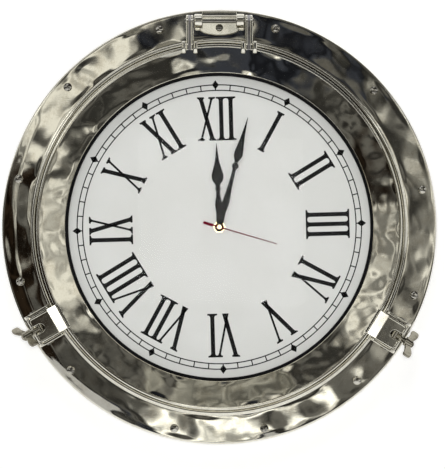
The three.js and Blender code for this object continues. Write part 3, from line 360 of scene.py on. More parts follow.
def stacked(outline, layers):
    """Closed plan outline repeated at each layer (inset, height). Each of its points moves in along
    the mean of its two sides' normals, longer at a corner. The end layers are closed by one face."""
    ahead, back = np.roll(outline, -1, 0) - outline, outline - np.roll(outline, 1, 0)
    (u, v), (next_u, next_v) = outline.T, np.roll(outline, -1, 0).T
    area = np.sum(u * next_v - v * next_u)
    ahead, back = (side / np.linalg.norm(side, axis=1, keepdims=True).clip(1e-9) for side in (ahead, back))
    normals = [np.stack([side[:, 1], -side[:, 0]], -1) * np.sign(area) for side in (ahead, back)]
    mean = normals[0] + normals[1]
    mean = mean / (1 + np.sum(normals[0] * normals[1], axis=1, keepdims=True)).clip(0.3)
    plan = np.stack([untangled(untangled(outline - inset * mean, outline), outline)
                     for inset, rise in layers])
    height = np.broadcast_to(np.asarray(layers)[:, 1, None, None], plan[..., :1].shape)
    points = np.concatenate([plan, height], -1).reshape(-1, 3)
    count, last = len(outline), (len(layers) - 1) * len(outline)
    faces = cells(len(layers), count, False).tolist()
    return points, faces + [list(range(count)), list(range(last, last + count))]


def slab(outline, low, high, cut, steps=3):
    """A shell of an outline (y, depth) stacked along x from low to high, its edges rounded by cut."""
    points, faces = stacked(outline, soft(low, high, cut, steps))
    return points[:, [2, 0, 1]], faces


def moved(shell, x=0, y=0, depth=0):
    """A shell moved that far."""
    return shell[0] + [x, y, depth], shell[1]


def turned(shell, angle):
    """A shell turned clockwise about the middle of the dial, by degrees."""
    x, y, depth = shell[0].T
    c, s = np.cos(np.radians(angle)), np.sin(np.radians(angle))
    return np.stack([x * c + y * s, y * c - x * s, depth], -1), shell[1]


def waves(u, v, size, seed, count=20):
    """Uneven ground of about unit height: the sum of plane waves with random headings and phases,
    and wavelengths from 0.7 to 1.7 times size."""
    random = np.random.default_rng(seed)
    heading, phase = random.uniform(0, 2 * np.pi, (2, count))
    pace = 2 * np.pi / (size * random.uniform(0.7, 1.7, count))
    run = u[..., None] * np.cos(heading) * pace + v[..., None] * np.sin(heading) * pace
    return np.sin(run + phase).sum(-1) / np.sqrt(count / 2)


def made(name, shells, material, body, nodes):
    """One mesh of several closed shells in clock millimetres: doubles merged, faces turned outwards,
    smooth but for its sharper edges, and shaded so that flat faces stay flat beside rounded edges.
    It rides on body and stands for nodes."""
    starts = np.cumsum([0] + [len(points) for points, faces in shells])
    faces = [[corner + start for corner in face] for (points, all_faces), start in zip(shells, starts)
             for face in all_faces]
    mesh = bpy.data.meshes.new(name)
    mesh.from_pydata(placed(np.concatenate([points for points, all_faces in shells])), [], faces)
    work = bmesh.new()
    work.from_mesh(mesh)
    bmesh.ops.remove_doubles(work, verts=work.verts, dist=1e-6)
    bmesh.ops.recalc_face_normals(work, faces=work.faces)
    work.to_mesh(mesh)
    work.free()
    mesh.shade_smooth()
    mesh.set_sharp_from_angle(angle=np.radians(sharp_angle))
    mesh.materials.append(material)
    piece = bpy.data.objects.new(name, mesh)
    bpy.context.scene.collection.objects.link(piece)
    flats = piece.modifiers.new("flats stay flat", "WEIGHTED_NORMAL")
    flats.keep_sharp = True
    flats.weight = flat_weight
    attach(piece, body)
    if nodes:
        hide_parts(*nodes)


def new_group(name, inputs):
    """An empty group for a colour, a roughness and a normal, its input sockets, and the place on the
    piece. inputs maps each input's name to its usual value, a number or a colour."""
    group = bpy.data.node_groups.new(name, "ShaderNodeTree")
    for key, value in inputs.items():
        kind = "NodeSocketColor" if isinstance(value, tuple) else "NodeSocketFloat"
        group.interface.new_socket(key, in_out="INPUT", socket_type=kind).default_value = value
    for key, kind in (("Colour", "Color"), ("Roughness", "Float"), ("Normal", "Vector")):
        group.interface.new_socket(key, in_out="OUTPUT", socket_type=f"NodeSocket{kind}")
    return group, add(group, "NodeGroupInput").outputs, add(group, "ShaderNodeTexCoord").outputs["Object"]


def wear_group():
    """Wear of plated metal: stains between two colours, a roughness that rises in the stains and in
    fine scratches, and a normal with shallow dents, scratches and grain."""
    group, given, where = new_group("plating_wear", {
        "Bright": nickel_bright, "Stain": nickel_stain, "Stain share": 0.5, "Polish": 0.1,
        "Dent size": 0.012, "Dents": 0.3})
    dirt = reckoned(group, "MULTIPLY", noise(group, where, 55, 5, 0.6), 0.65)
    dirt = reckoned(group, "MULTIPLY_ADD", noise(group, where, 420, 3, 0.7), 0.35, dirt)
    dirt = ranged(group, dirt, 0.44, 0.66, 0.0, given["Stain share"], "SMOOTHSTEP")
    colour = mixed(group, dirt, given["Bright"], given["Stain"])
    turned_place = add(group, "ShaderNodeMapping", {"Vector": where, "Rotation": (0.3, 0.7, 0.2),
                       "Scale": (1, 14, 14)})
    fine = noise(group, turned_place.outputs[0], 130, 3)
    scratch = ranged(group, fine, 0.60, 0.74, kind="SMOOTHSTEP")
    rough = reckoned(group, "MULTIPLY_ADD", dirt, 0.07, given["Polish"])
    rough = reckoned(group, "MULTIPLY_ADD", scratch, 0.03, rough)
    dent_pace = reckoned(group, "DIVIDE", 1.0, given["Dent size"])
    dent_height = reckoned(group, "MULTIPLY", noise(group, where, dent_pace, 1.5), given["Dents"])
    ground = add(group, "ShaderNodeBump", {"Strength": 1.0, "Distance": 0.0009, "Height": dent_height})
    scored = add(group, "ShaderNodeBump", {"Strength": 0.5, "Distance": 0.000006, "Height": fine,
                 "Normal": ground.outputs[0]})
    add(group, "NodeGroupOutput", {"Colour": colour, "Roughness": rough, "Normal": scored.outputs[0]})
    return group


plating_wear = wear_group()


def plated(name, bright=nickel_bright, stain=nickel_stain, stain_share=0.35, polish=0.07, dent_size=0.02,
           dents=0.05):
    """Plated or bare metal with wear. Polish is the roughness where it is clean."""
    material, tree = new_material(name)
    wear = add(tree, "ShaderNodeGroup", {"Bright": bright, "Stain": stain, "Stain share": stain_share,
               "Polish": polish, "Dent size": dent_size, "Dents": dents}, node_tree=plating_wear).outputs
    metal = add(tree, "ShaderNodeBsdfPrincipled", {"Base Color": wear["Colour"], "Metallic": 1.0,
                "Roughness": wear["Roughness"], "Normal": wear["Normal"]})
    add(tree, "ShaderNodeOutputMaterial", {"Surface": metal.outputs[0]})
    return material


def base_ground(radius, angle, depth):
    """Front of the flange: long shallow waves that fade towards both rims, and at the lower left an
    outer part, beyond an uneven border, that falls away at a steady slope."""
    x, y = radius * np.sin(angle), radius * np.cos(angle)
    front = (depth > flange_front) & (radius > flange_inner)
    side = (np.clip((radius - flange_inner) / flange_fades[0], 0, 1)
            * np.clip((flange_outer - radius) / flange_fades[1], 0, 1))
    border = worn_radius + sum(height * np.sin(count * angle + phase) for height, count, phase in worn_border)
    past = np.clip(radius - border, 0, None)
    worn = np.clip((np.cos(angle - np.radians(worn_angle)) - worn_reach) / worn_fade, 0, 1)
    fall = -worn_slope * worn * past**2 / (past + worn_ease)
    fall *= np.clip((depth - corner_low) / corner_height, 0, 1)
    ground = sum(height * waves(x, y, length, seed) for height, length, seed in flange_waves)
    return depth + np.where(front, ground * side + fall, 0)


nickel = plated("nickel", polish=0.03)
base_shells = [lathe(filled(rounded(base_outline, 7), 2), ring_sides, base_ground)]
for angle in latch_angles:
    ears = [slab(rounded(ear_outline), low, high, 0.7)
            for low, high in ((-ear_outer, -ear_inner), (ear_inner, ear_outer))]
    rail = slab(rounded(rail_outline), -ear_inner - 1, ear_inner + 1, 0.2)
    base_shells += [turned(shell, angle) for shell in (*ears, rail)]
base_shells += [moved(lathe(boss_outline, 32), x, y) for x, y in boss_places]
made("base_ring_looks", base_shells, nickel, "case", ["base_ring"])


# Flange rivets. Twelve nickel-plated dome rivets, hammered by hand, so no two heads are alike.
# Their shanks pass through the flange and are spread behind it.

rivet_angles = [15.8, 48.5, 79.5, 109.3, 138.1, 167.4, 192.6, 226.1, 254.7, 283.5, 312.7, 343.2]
rivet_circle = 241
rivet_head, rivet_height, rivet_face = 5, 3.2, 24.9
rivet_shank, rivet_tail, hammer_mark = 2.1, 21, 4.5


def dome_outline(radius, height, face, shank, tail, steps=9):
    """Radius and depth of a domed rivet: a short shank, a flat under the head, a narrow upright edge,
    and over it a quarter ellipse (radius cos t, height sin t)."""
    turn = np.linspace(0, np.pi / 2, steps)
    edge = 0.12 * height
    dome = np.stack([radius * np.cos(turn), face + edge + (height - edge) * np.sin(turn)], -1)
    return np.concatenate([[(0, tail), (shank, tail), (shank, face), (radius * 0.97, face)], dome])


def hammered(shell, seed, amount):
    """A shell with its points moved in depth by small waves, as a hammer leaves a rivet's head."""
    x, y, depth = shell[0].T
    return np.stack([x, y, depth + amount * waves(x, y, hammer_mark, seed)], -1), shell[1]


rivet = lathe(dome_outline(rivet_head, rivet_height, rivet_face, rivet_shank, rivet_tail), 40)
rivet_shells = [turned(moved(hammered(rivet, seed, 0.07), y=rivet_circle), angle)
                for seed, angle in enumerate(rivet_angles)]
rivet_nickel = plated("rivet_nickel", bright=(0.62, 0.60, 0.54, 1), stain=(0.03, 0.025, 0.02, 1),
                      stain_share=0.9, polish=0.02, dent_size=0.0035, dents=0.03)
made("flange_rivets", rivet_shells, rivet_nickel, "case",
     [f"flange_rivet_{number:02}" for number in range(1, 13)])


# Hinge bracket. A nickel-plated casting riveted to the flange: a plate with a half-round tongue,
# two thick ears for the pin, and a wall behind them.

hinge_y, hinge_depth = 239.5, 37
bracket_back, bracket_front = 25.3, 28.3
bracket_ear_inner, bracket_ear_outer, bracket_ear_round = 19.5, 29.1, 8.2
tongue_half, tongue_low = 23, 224
plate_lean, plate_lean_from = 0.105, 1.4  # only what is above this height of the plate leans
bracket_rivet_head, bracket_rivet_height, bracket_rivet_face, bracket_rivet_shank = 4.4, 2.6, 28.6, 1.8
bracket_rivet_drop = 7
bracket_wall = [(244.5, 25.6, 0.4), (252, 25.6, 0.4), (252, 37, 2.5), (244.5, 37, 2.0)]

plate_low, plate_high = hinge_y - bracket_ear_round, hinge_y + bracket_ear_round
swing = np.radians(np.linspace(0, 180, 25))
tongue = np.stack([-tongue_half * np.cos(swing), plate_low - (plate_low - tongue_low) * np.sin(swing)], -1)
plate_outline = filled(np.concatenate([
    [(bracket_ear_outer, plate_low), (bracket_ear_outer, plate_high),
     (-bracket_ear_outer, plate_high), (-bracket_ear_outer, plate_low)], tongue]), 3)
turn = np.radians(np.linspace(0, 180, 19))
bracket_ear_outline = np.concatenate([
    [(plate_low, bracket_back + 0.3), (plate_high, bracket_back + 0.3)],
    [hinge_y, hinge_depth] + bracket_ear_round * np.stack([np.cos(turn), np.sin(turn)], -1),
])
plate_points, plate_faces = stacked(plate_outline, soft(bracket_back, bracket_front, 0.7))
leaning = plate_points[:, 2] > bracket_back + plate_lean_from
plate_points[:, 2] += plate_lean * (plate_points[:, 1] - hinge_y) * leaning
bracket_shells = [(plate_points, plate_faces),
                  slab(bracket_ear_outline, -bracket_ear_outer, -bracket_ear_inner, 1.3, 4),
                  slab(bracket_ear_outline, bracket_ear_inner, bracket_ear_outer, 1.3, 4),
                  slab(rounded(bracket_wall), -20, 20, 0.5)]
cast_nickel = plated("cast_nickel", polish=0.06, dent_size=0.010, dents=0.03)
made("hinge_bracket_looks", bracket_shells, cast_nickel, "case", ["hinge_bracket"])

rivet = lathe(dome_outline(bracket_rivet_head, bracket_rivet_height, bracket_rivet_face,
                           bracket_rivet_shank, rivet_tail), 40)
made("bracket_rivet_looks", [moved(hammered(rivet, 20, 0.05), y=hinge_y - bracket_rivet_drop)],
     rivet_nickel, "case", ["bracket_rivet"])


# Hinge pin. A long turned steel pin that the door hangs on, through the bracket's ears and the two
# arms. It has a low round head at each end, the second one spread when it was in its place.

pin_radius, pin_head_radius = 2.5, 3.7
pin_half, pin_head_length = 38.8, 1.3


def spindle(outline):
    """A shell turned round the x axis from an outline of radius and x."""
    points, faces = lathe(outline, 32)
    return points[:, [2, 0, 1]], faces


def headed_pin_outline(radius, head_radius, half, head_length, edge=0.35):
    """Radius and x of a pin with a head at both ends, the heads' rims drawn in by edge."""
    side = np.array([(0, half + head_length), (head_radius - edge, half + head_length),
                     (head_radius, half + head_length - edge), (head_radius, half), (radius, half)])
    return np.concatenate([side, (side * [1, -1])[::-1]])


steel = plated("steel", bright=(0.30, 0.29, 0.26, 1), stain=(0.12, 0.10, 0.07, 1), polish=0.2,
               dent_size=0.004, dents=0.1)
hinge_pin = spindle(headed_pin_outline(pin_radius, pin_head_radius, pin_half, pin_head_length))
made("hinge_pin_looks", [moved(hinge_pin, 0, hinge_y, hinge_depth)], steel, "case", ["hinge_pin"])


# Door ring. A nickel-plated casting, filed and polished by hand, so its broad face is uneven and
# blotchy. A narrow lip runs round it, and four cheeks stand on it to hold the hinge arms.

door_outline = [
    (190.5, 36, 0.4), (204, 36, 0.3), (204, 34, 0.3), (212, 34, 0.5), (212, 48.4, 2.2),
    (208.8, 48.4, 1.2), (208.5, 47.4, 0.3), (179.3, 44.7, 0.6), (178.8, 44.3, 0.2), (178.8, 43.2, 0.2),
    (190.5, 43.2, 0.4),
]
cheek_outline = [
    (201, 45, 0.3), (201, 47.6, 1.5), (204.6, 51.2, 2.6), (213.6, 51.2, 2.4), (215.5, 49, 1.6),
    (215.5, 44.8, 0.3),
]
cheek_half = 2.4
cheek_places = [-41.2, -27.6, 27.6, 41.2]
door_face, door_inner, door_outer = 44.4, 180, 208.6  # depth and radii of the uneven face
door_fades = 4, 3
door_middle, door_slope, door_slope_change = 195, 0.041, 0.006
filed_waves = [(0.09, 44, 7), (0.024, 19, 8), (0.0025, 9, 9)]  # height, length, seed


def door_ground(radius, angle, depth):
    """Face of the door: waves left by the file, and a slope that changes slowly round the ring."""
    x, y = radius * np.sin(angle), radius * np.cos(angle)
    front = (depth > door_face) & (radius < door_outer)
    side = (np.clip((radius - door_inner) / door_fades[0], 0, 1)
            * np.clip((door_outer - radius) / door_fades[1], 0, 1))
    lean = door_slope + door_slope_change * np.sin(2 * angle + 0.5)
    ground = sum(height * waves(x, y, length, seed) for height, length, seed in filed_waves)
    return depth + np.where(front, ground * side + lean * (radius - door_middle), 0)


door_shells = [lathe(filled(rounded(door_outline, 7), 2.4), ring_sides, door_ground)]
cheek = slab(rounded(cheek_outline), -cheek_half, cheek_half, 1.2, 4)
door_shells += [moved(cheek, x) for x in cheek_places]
made("door_ring_looks", door_shells, nickel, "door", ["door_ring"])


# Hinge arms. Two nickel-plated bars, each with a knuckle on the pin and a foot between two cheeks.
# A groove runs down the front of each, and its floor is coloured near black as painted shade.

arm_offset, arm_half = 34.4, 4.1
knuckle_radius = 7
arm_back, arm_front, arm_foot_front = 44.8, 50.2, 48.6
groove_half, groove_depth = 1.2, 1.8
turn = np.radians(np.linspace(200, 420, 23))
knuckle = [hinge_y, hinge_depth] + knuckle_radius * np.stack([np.cos(turn), np.sin(turn)], -1)


def arm_outline(front, foot_front):
    """Side view (y, depth) of an arm: the round of the knuckle, the bar's front, the foot and the
    underside, with small round corners after the knuckle."""
    bar = rounded([(hinge_y + 3.5, front - 3, 1.5), (hinge_y - 0.5, front, 2.0), (211.5, front, 0.6),
                   (211.2, foot_front, 0.4), (205, foot_front, 0.8), (205, arm_back, 0.3),
                   (225.5, arm_back, 3)])
    return np.concatenate([knuckle, bar])


def arm_shells(x):
    """An arm as two side rails and a lower strip between them, which is the groove's floor."""
    side = arm_outline(arm_front, arm_foot_front)
    middle = arm_outline(arm_front - groove_depth, arm_foot_front)
    shells = [slab(side, -arm_half, -groove_half, 0.6), slab(side, groove_half, arm_half, 0.6),
              slab(middle, -groove_half - 0.7, groove_half + 0.7, 0.1)]
    return [moved(shell, x) for shell in shells]


# Painted shade: the groove's floor is coloured near black for the shade that lies in it.
groove_shade_paint = plated("groove_shade_paint", bright=(0.46, 0.45, 0.46, 1), stain=(0.03, 0.027, 0.024, 1),
                      stain_share=0.9, polish=0.35)
for side_name, x in (("left", -arm_offset), ("right", arm_offset)):
    shells = arm_shells(x)
    made(f"hinge_arm_{side_name}_looks", shells[:2], cast_nickel, "door", [f"hinge_arm_{side_name}"])
    made(f"hinge_arm_{side_name}_groove", shells[2:], groove_shade_paint, "door", [])


# Latch forks. Nickel-plated castings on the door's rim: a bright ramp beside the door, then a floor
# with a raised rim and a slot that lets the bolt swing in from outside.

fork_half, fork_end = 15.5, 247
fork_under, fork_floor, fork_rim = 44.8, 48, 50
fork_rim_width, fork_corner = 2.6, 5
slot_half, slot_centre = 5.2, 238
ramp_outline = [
    (206.3, 44.8, 0.1), (221.3, 44.8, 0.1), (221.3, 52.4, 0.7), (209.8, 50.0, 0.8), (209.2, 49.2, 0.3),
    (206.3, 49.2, 0.6),
]
slot_turn = np.radians(np.linspace(360, 180, 15))
slot_arc = np.stack([slot_half * np.cos(slot_turn), slot_centre + slot_half * np.sin(slot_turn)], -1)


def fork_plan():
    """Plan of the floor: a plate with two round outer corners and the open slot between them."""
    plate = [(-slot_half, fork_end, 0.8), (-fork_half, fork_end, fork_corner),
             (-fork_half, 220.5, 0.1), (fork_half, 220.5, 0.1), (fork_half, fork_end, fork_corner),
             (slot_half, fork_end, 0.8)]
    slot = np.column_stack([slot_arc, np.full(len(slot_arc), 0.3)])
    return rounded(np.concatenate([plate, slot]))


def fork_rim_plan():
    """Plan of the rim on the left half: up the side, round the corner and along the end to the slot."""
    inner = fork_half - fork_rim_width
    end_inner = fork_end - fork_rim_width
    return rounded([(-fork_half, 220.8, 0.1), (-inner, 220.8, 0.1), (-inner, end_inner, 2.4),
                    (-slot_half - 0.1, end_inner, 0.6), (-slot_half - 0.1, fork_end, 0.8),
                    (-fork_half, fork_end, fork_corner)])


def fork_shells(angle):
    """Floor, two rims and ramp, turned to the latch's place."""
    rim, rim_faces = stacked(fork_rim_plan(), soft(fork_under + 0.2, fork_rim, 0.7))
    shells = [stacked(fork_plan(), soft(fork_under, fork_floor, 0.4)), (rim, rim_faces),
              (rim * [-1, 1, 1], rim_faces), slab(rounded(ramp_outline), -fork_half, fork_half, 0.5)]
    return [turned(shell, angle) for shell in shells]


for side_name, angle in zip(("left", "right"), latch_angles):
    made(f"latch_fork_{side_name}_looks", fork_shells(angle), cast_nickel, "door",
         [f"latch_fork_{side_name}"])


# Swing bolts and wing nuts. An eye bolt swings on a steel cross pin between the ears, and a wing nut
# on its shank clamps the fork down. Both are cast and nickel-plated, and coloured much darker than the other
# nickel.

pivot_radius, pivot_depth = 238, 39.5
latch_tilts, nut_turns = [64, 92], [54, -52]
eye_radius, eye_half = 4.5, 16
shank_radius, shank_length, tip_bevel = 3.5, 26, 0.8
neck_start, thread_start, thread_pitch, thread_depth = 3.2, 10.0, 1.25, 0.44
latch_pin_radius, latch_pin_head_radius, latch_pin_half, latch_pin_head_length = 2.1, 3.2, 20.1, 1.2
nut_outline = np.array([(3.8, 15.3), (4.1, 15), (5.3, 15), (5.6, 15.4), (5.3, 19.5), (4.9, 23.6),
                        (4.5, 24), (4.1, 24), (3.8, 23.7)])
wing_outline = [
    (3.9, 16.4, 1.2), (5.6, 16.4, 1.2), (14.5, 18.6, 4.0), (23.5, 17.6, 4.6), (23.5, 27.7, 5.0),
    (15.0, 28, 4.0), (6.6, 23.6, 3.0), (3.9, 23.6, 1.5),
]
wing_half = 1.5


def on_latch(shell, latch):
    """A shell of a bolt's own frame (eye along x, shank along z) put on the latch: tilted outwards,
    moved to the pivot and turned to the latch's angle."""
    x, y, z = shell[0].T
    c, s = np.cos(np.radians(latch_tilts[latch])), np.sin(np.radians(latch_tilts[latch]))
    leaned = np.stack([x, y * c + z * s + pivot_radius, z * c - y * s + pivot_depth], -1)
    return turned((leaned, shell[1]), latch_angles[latch])


def thread_outline():
    """Radius and distance along a bolt: a plain neck, a thread whose radius falls and rises as a
    cosine, and a bevelled tip."""
    along = np.arange(thread_start, shank_length - tip_bevel, thread_pitch / 4)
    radius = shank_radius - thread_depth / 2 * (1 - np.cos(2 * np.pi * along / thread_pitch))
    return np.concatenate([
        [(0, neck_start), (shank_radius, neck_start), (shank_radius, thread_start - 0.1)],
        np.stack([radius, along], -1),
        [(shank_radius - 0.2, shank_length - tip_bevel), (shank_radius - tip_bevel, shank_length),
         (0, shank_length)],
    ])


def eye_outline():
    """Radius and x of the eye: a barrel across the shank with softened ends, bored for the pin."""
    side = np.array([(2.2, eye_half - 0.3), (2.5, eye_half), (eye_radius - 0.6, eye_half),
                     (eye_radius, eye_half - 0.6)])
    return np.concatenate([side, (side * [1, -1])[::-1]])


def wing_shells(latch):
    """Barrel and two wings, turned on the thread."""
    wing, wing_faces = stacked(rounded(wing_outline, 6), soft(-wing_half, wing_half, 0.6, 4))
    wing = wing[:, [0, 2, 1]]
    shells = [lathe(nut_outline, 36), (wing, wing_faces), (wing * [-1, -1, 1], wing_faces)]
    return [on_latch(turned(shell, -nut_turns[latch]), latch) for shell in shells]


# Coloured much darker than the other nickel.
nut_nickel = plated("nut_nickel", bright=(0.34, 0.32, 0.26, 1), stain=(0.06, 0.045, 0.025, 1),
                    stain_share=0.8, polish=0.12, dent_size=0.004, dents=0.12)
bolt = [spindle(eye_outline()), lathe(thread_outline(), 32)]
latch_pin = spindle(headed_pin_outline(latch_pin_radius, latch_pin_head_radius, latch_pin_half,
                                       latch_pin_head_length))
for latch, side_name in enumerate(("left", "right")):
    made(f"swing_bolt_{side_name}_looks", [on_latch(shell, latch) for shell in bolt], nut_nickel,
         f"{side_name}_bolt", [f"swing_bolt_{side_name}"])
    made(f"wing_nut_{side_name}_looks", wing_shells(latch), nut_nickel, f"{side_name}_nut",
         [f"wing_nut_{side_name}"])
    made(f"latch_pin_{side_name}_looks", [on_latch(latch_pin, latch)], steel, "case",
         [f"latch_pin_{side_name}"])


# Glass, gasket, retainer and seal. The pane lies in a rubber gasket against the door's window and is
# held from behind by a plated ring. A rubber seal on the base's ledge meets the closed door.

glass_index = 1.10
# The gasket's rim reaches in past the door's metal and shows as a black line round the window: real rubber,
# widened as painted shade for the seam between door and glass.
gasket_outline = np.array([(175.2, 41.8), (186, 41.8), (186, 42.9), (178.5, 42.9), (178.5, 43.9),
                           (178, 44.1), (176, 43.6), (175.4, 43.2), (175.2, 42.7)])


def dress(material, *names):
    """Gives CAD nodes a finish in place of their plain one."""
    for name in names:
        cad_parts[name].data.materials.clear()
        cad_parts[name].data.materials.append(material)


def pane_glass():
    """Clear glass, a little rippled and smeared. Light passes it to the dial without darkening it."""
    material, tree = new_material("pane_glass")
    where = add(tree, "ShaderNodeTexCoord").outputs["Object"]
    bump = add(tree, "ShaderNodeBump", {"Strength": 0.3, "Distance": 0.0003,
               "Height": noise(tree, where, 14, 1)})
    haze = ranged(tree, noise(tree, where, 30, 4), 0.5, 0.8, 0.0, 0.012)
    glass = add(tree, "ShaderNodeBsdfPrincipled", {"Base Color": (1, 1, 1, 1), "Transmission Weight": 1.0,
                "Roughness": haze, "IOR": glass_index, "Normal": bump.outputs[0]})
    clear = add(tree, "ShaderNodeBsdfTransparent", {"Color": (0.97, 0.975, 0.97, 1)})
    path = add(tree, "ShaderNodeLightPath").outputs
    unseen = reckoned(tree, "MAXIMUM", path["Is Shadow Ray"], path["Is Diffuse Ray"])
    both = add(tree, "ShaderNodeMixShader", {0: unseen, 1: glass.outputs[0], 2: clear.outputs[0]})
    add(tree, "ShaderNodeOutputMaterial", {"Surface": both.outputs[0]})
    return material


def grain_group():
    """Grain of dull stuff: a colour that wanders between two, and a fine uneven surface."""
    group, given, where = new_group("fine_grain", {
        "Light": (0.8, 0.8, 0.8, 1), "Dark": (0.6, 0.6, 0.6, 1), "Patch size": 0.02, "Grain size": 0.001,
        "Depth": 0.0001, "Dull": 0.5})
    paces = [reckoned(group, "DIVIDE", 1.0, given[name]) for name in ("Patch size", "Grain size")]
    share = ranged(group, noise(group, where, paces[0], 4), 0.35, 0.65, kind="SMOOTHSTEP")
    grain = noise(group, where, paces[1], 2)
    rough = reckoned(group, "MULTIPLY_ADD", grain, 0.2, given["Dull"])
    bump = add(group, "ShaderNodeBump", {"Strength": 0.6, "Distance": given["Depth"], "Height": grain})
    add(group, "NodeGroupOutput", {"Colour": mixed(group, share, given["Light"], given["Dark"]),
        "Roughness": rough, "Normal": bump.outputs[0]})
    return group


fine_grain = grain_group()


def dull(name, light, dark, patch_size=0.02, grain_size=0.0012, depth=0.0001, dullness=0.45, gloss=0.5):
    """Paper, rubber, board, paint or moulded plastic: a grained surface with no metal in it."""
    material, tree = new_material(name)
    grain = add(tree, "ShaderNodeGroup", {"Light": (*light, 1), "Dark": (*dark, 1),
                "Patch size": patch_size, "Grain size": grain_size, "Depth": depth, "Dull": dullness},
                node_tree=fine_grain).outputs
    body = add(tree, "ShaderNodeBsdfPrincipled", {"Base Color": grain["Colour"],
               "Specular IOR Level": gloss, "Roughness": grain["Roughness"], "Normal": grain["Normal"]})
    add(tree, "ShaderNodeOutputMaterial", {"Surface": body.outputs[0]})
    return material


rubber = dull("rubber", (0.006, 0.006, 0.007), (0.004, 0.004, 0.004), dullness=0.6, gloss=0.12)
dark_nickel = plated("dark_nickel", bright=(0.40, 0.38, 0.33, 1), stain=(0.18, 0.15, 0.11, 1), polish=0.25)
made("glass_gasket_looks", [lathe(gasket_outline, 360)], rubber, "door", ["glass_gasket"])
dress(pane_glass(), "glass")
dress(rubber, "door_seal")
dress(dark_nickel, "glass_retainer")


# Dial. White matt paper glued to a fibreboard disc that three screws hold behind the ring's lip.
# It is printed in black: a railroad minute track with a diamond at each hour, and Roman numerals.

dial_turn = -1.6  # degrees, the dial sits a little askew
print_low, print_high = 26.92, 26.97
track_outer, track_inner, track_line, tick_width = 166.0, 159.6, 1.3, 1.3
diamond_long, diamond_wide = 5.4, 4.0
numeral_low, numeral_high = 101, 152
bar_width, thin_width = 4.9, 2.5
serif_width, serif_thick, serif_curve = 9.2, 1.9, 3.0
joined_serif = 11.5
letter_gap = 1.9


def ring_shell(radius, width):
    """A thin printed line right round the dial."""
    half = width / 2
    return lathe(np.array([(radius - half, print_low), (radius + half, print_low),
                           (radius + half, print_high), (radius - half, print_high)]), 360)


def ink(outline, angle):
    """A printed shape from its outline, turned round the dial. It lies barely above the paper."""
    return turned(stacked(outline, [(0, print_low), (0, print_high)]), angle + dial_turn)


def stroke_end(width, serif):
    """Right half of a stroke's end: the serif's side, and a parabola from it to the bar. Without a
    serif it is the bar's corner."""
    reach = max(serif - width, 0) / 2
    if not reach:
        return np.array([(width / 2, 0)])
    share = np.linspace(0, 1, 6)
    curve = np.stack([width / 2 + reach * (1 - share) ** 2, serif_thick + serif_curve * share**2], -1)
    return np.concatenate([[(width / 2 + reach, 0)], curve])


def stroke(width, lean=0.0, low_serif=serif_width, high_serif=serif_width):
    """One upright stroke of a numeral: a bar and its two ends, sheared so that its top stands lean
    further right than its foot."""
    height = numeral_high - numeral_low
    high_end = stroke_end(width, high_serif) * [1, -1] + [0, height]
    right = np.concatenate([stroke_end(width, low_serif), high_end[::-1]])
    outline = np.concatenate([right, (right * [-1, 1])[::-1]])
    outline[:, 0] += lean * (outline[:, 1] / height - 0.5)
    return outline + [0, numeral_low]


def numeral(text):
    """Outlines of a numeral's strokes with its middle at x = 0. Each letter has a width, and strokes
    with their places from its middle. Upright strokes side by side have joined serifs."""
    letters = {
        "I": (9.4, [(stroke(bar_width), 0)]),
        "V": (20.5, [(stroke(bar_width, -13.0, low_serif=0), -3.6),
                     (stroke(thin_width, 11.0, low_serif=0, high_serif=8), 4.4)]),
        "X": (21.0, [(stroke(bar_width, -13.6, 8.2, 8.2), 0), (stroke(thin_width, 13.6, 7.8, 7.8), 0)]),
    }
    widths = [letters[letter][0] for letter in text]
    left = -(sum(widths) + letter_gap * (len(text) - 1)) / 2
    shapes = []
    for letter, width in zip(text, widths):
        strokes = letters[letter][1]
        if letter == "I" and len(text) > 1:
            strokes = [(stroke(bar_width, 0, joined_serif, joined_serif), 0)]
        shapes += [outline + [left + width / 2 + shift, 0] for outline, shift in strokes]
        left += width + letter_gap
    return shapes


numerals = ["XII", "I", "II", "III", "IV", "V", "VI", "VII", "VIII", "IX", "X", "XI"]
ink_shells = [ring_shell(track_outer, track_line), ring_shell(track_inner, track_line)]
tick = np.array([(-tick_width / 2, track_inner), (tick_width / 2, track_inner),
                 (tick_width / 2, track_outer), (-tick_width / 2, track_outer)])
diamond = np.array([(0, track_outer - diamond_long), (diamond_wide, track_outer),
                    (0, track_outer + diamond_long), (-diamond_wide, track_outer)])
ink_shells += [ink(tick, angle) for angle in range(0, 360, 6)]
for hour, text in enumerate(numerals):
    ink_shells.append(ink(diamond, 30 * hour))
    ink_shells += [ink(shape, 30 * hour) for shape in numeral(text)]
printer_black = dull("printer_black", (0.004, 0.004, 0.004), (0.008, 0.008, 0.008), dullness=0.5, gloss=0.1)
made("dial_print", ink_shells, printer_black, "case", [])
dress(dull("dial_paper", (0.80, 0.80, 0.79), (0.77, 0.77, 0.755), patch_size=0.06, grain_size=0.0006,
           depth=0.00002, dullness=0.55), "dial_face")
dress(dull("fibreboard", (0.20, 0.11, 0.05), (0.13, 0.07, 0.035), patch_size=0.012, depth=0.0002),
      "dial_board")
dress(steel, "board_screw_1", "board_screw_2", "board_screw_3")


# Hands. Spade-shaped hour and minute hands of stamped steel, painted black, and a thin crimson
# sweep hand with a counterweight and a brass cap.

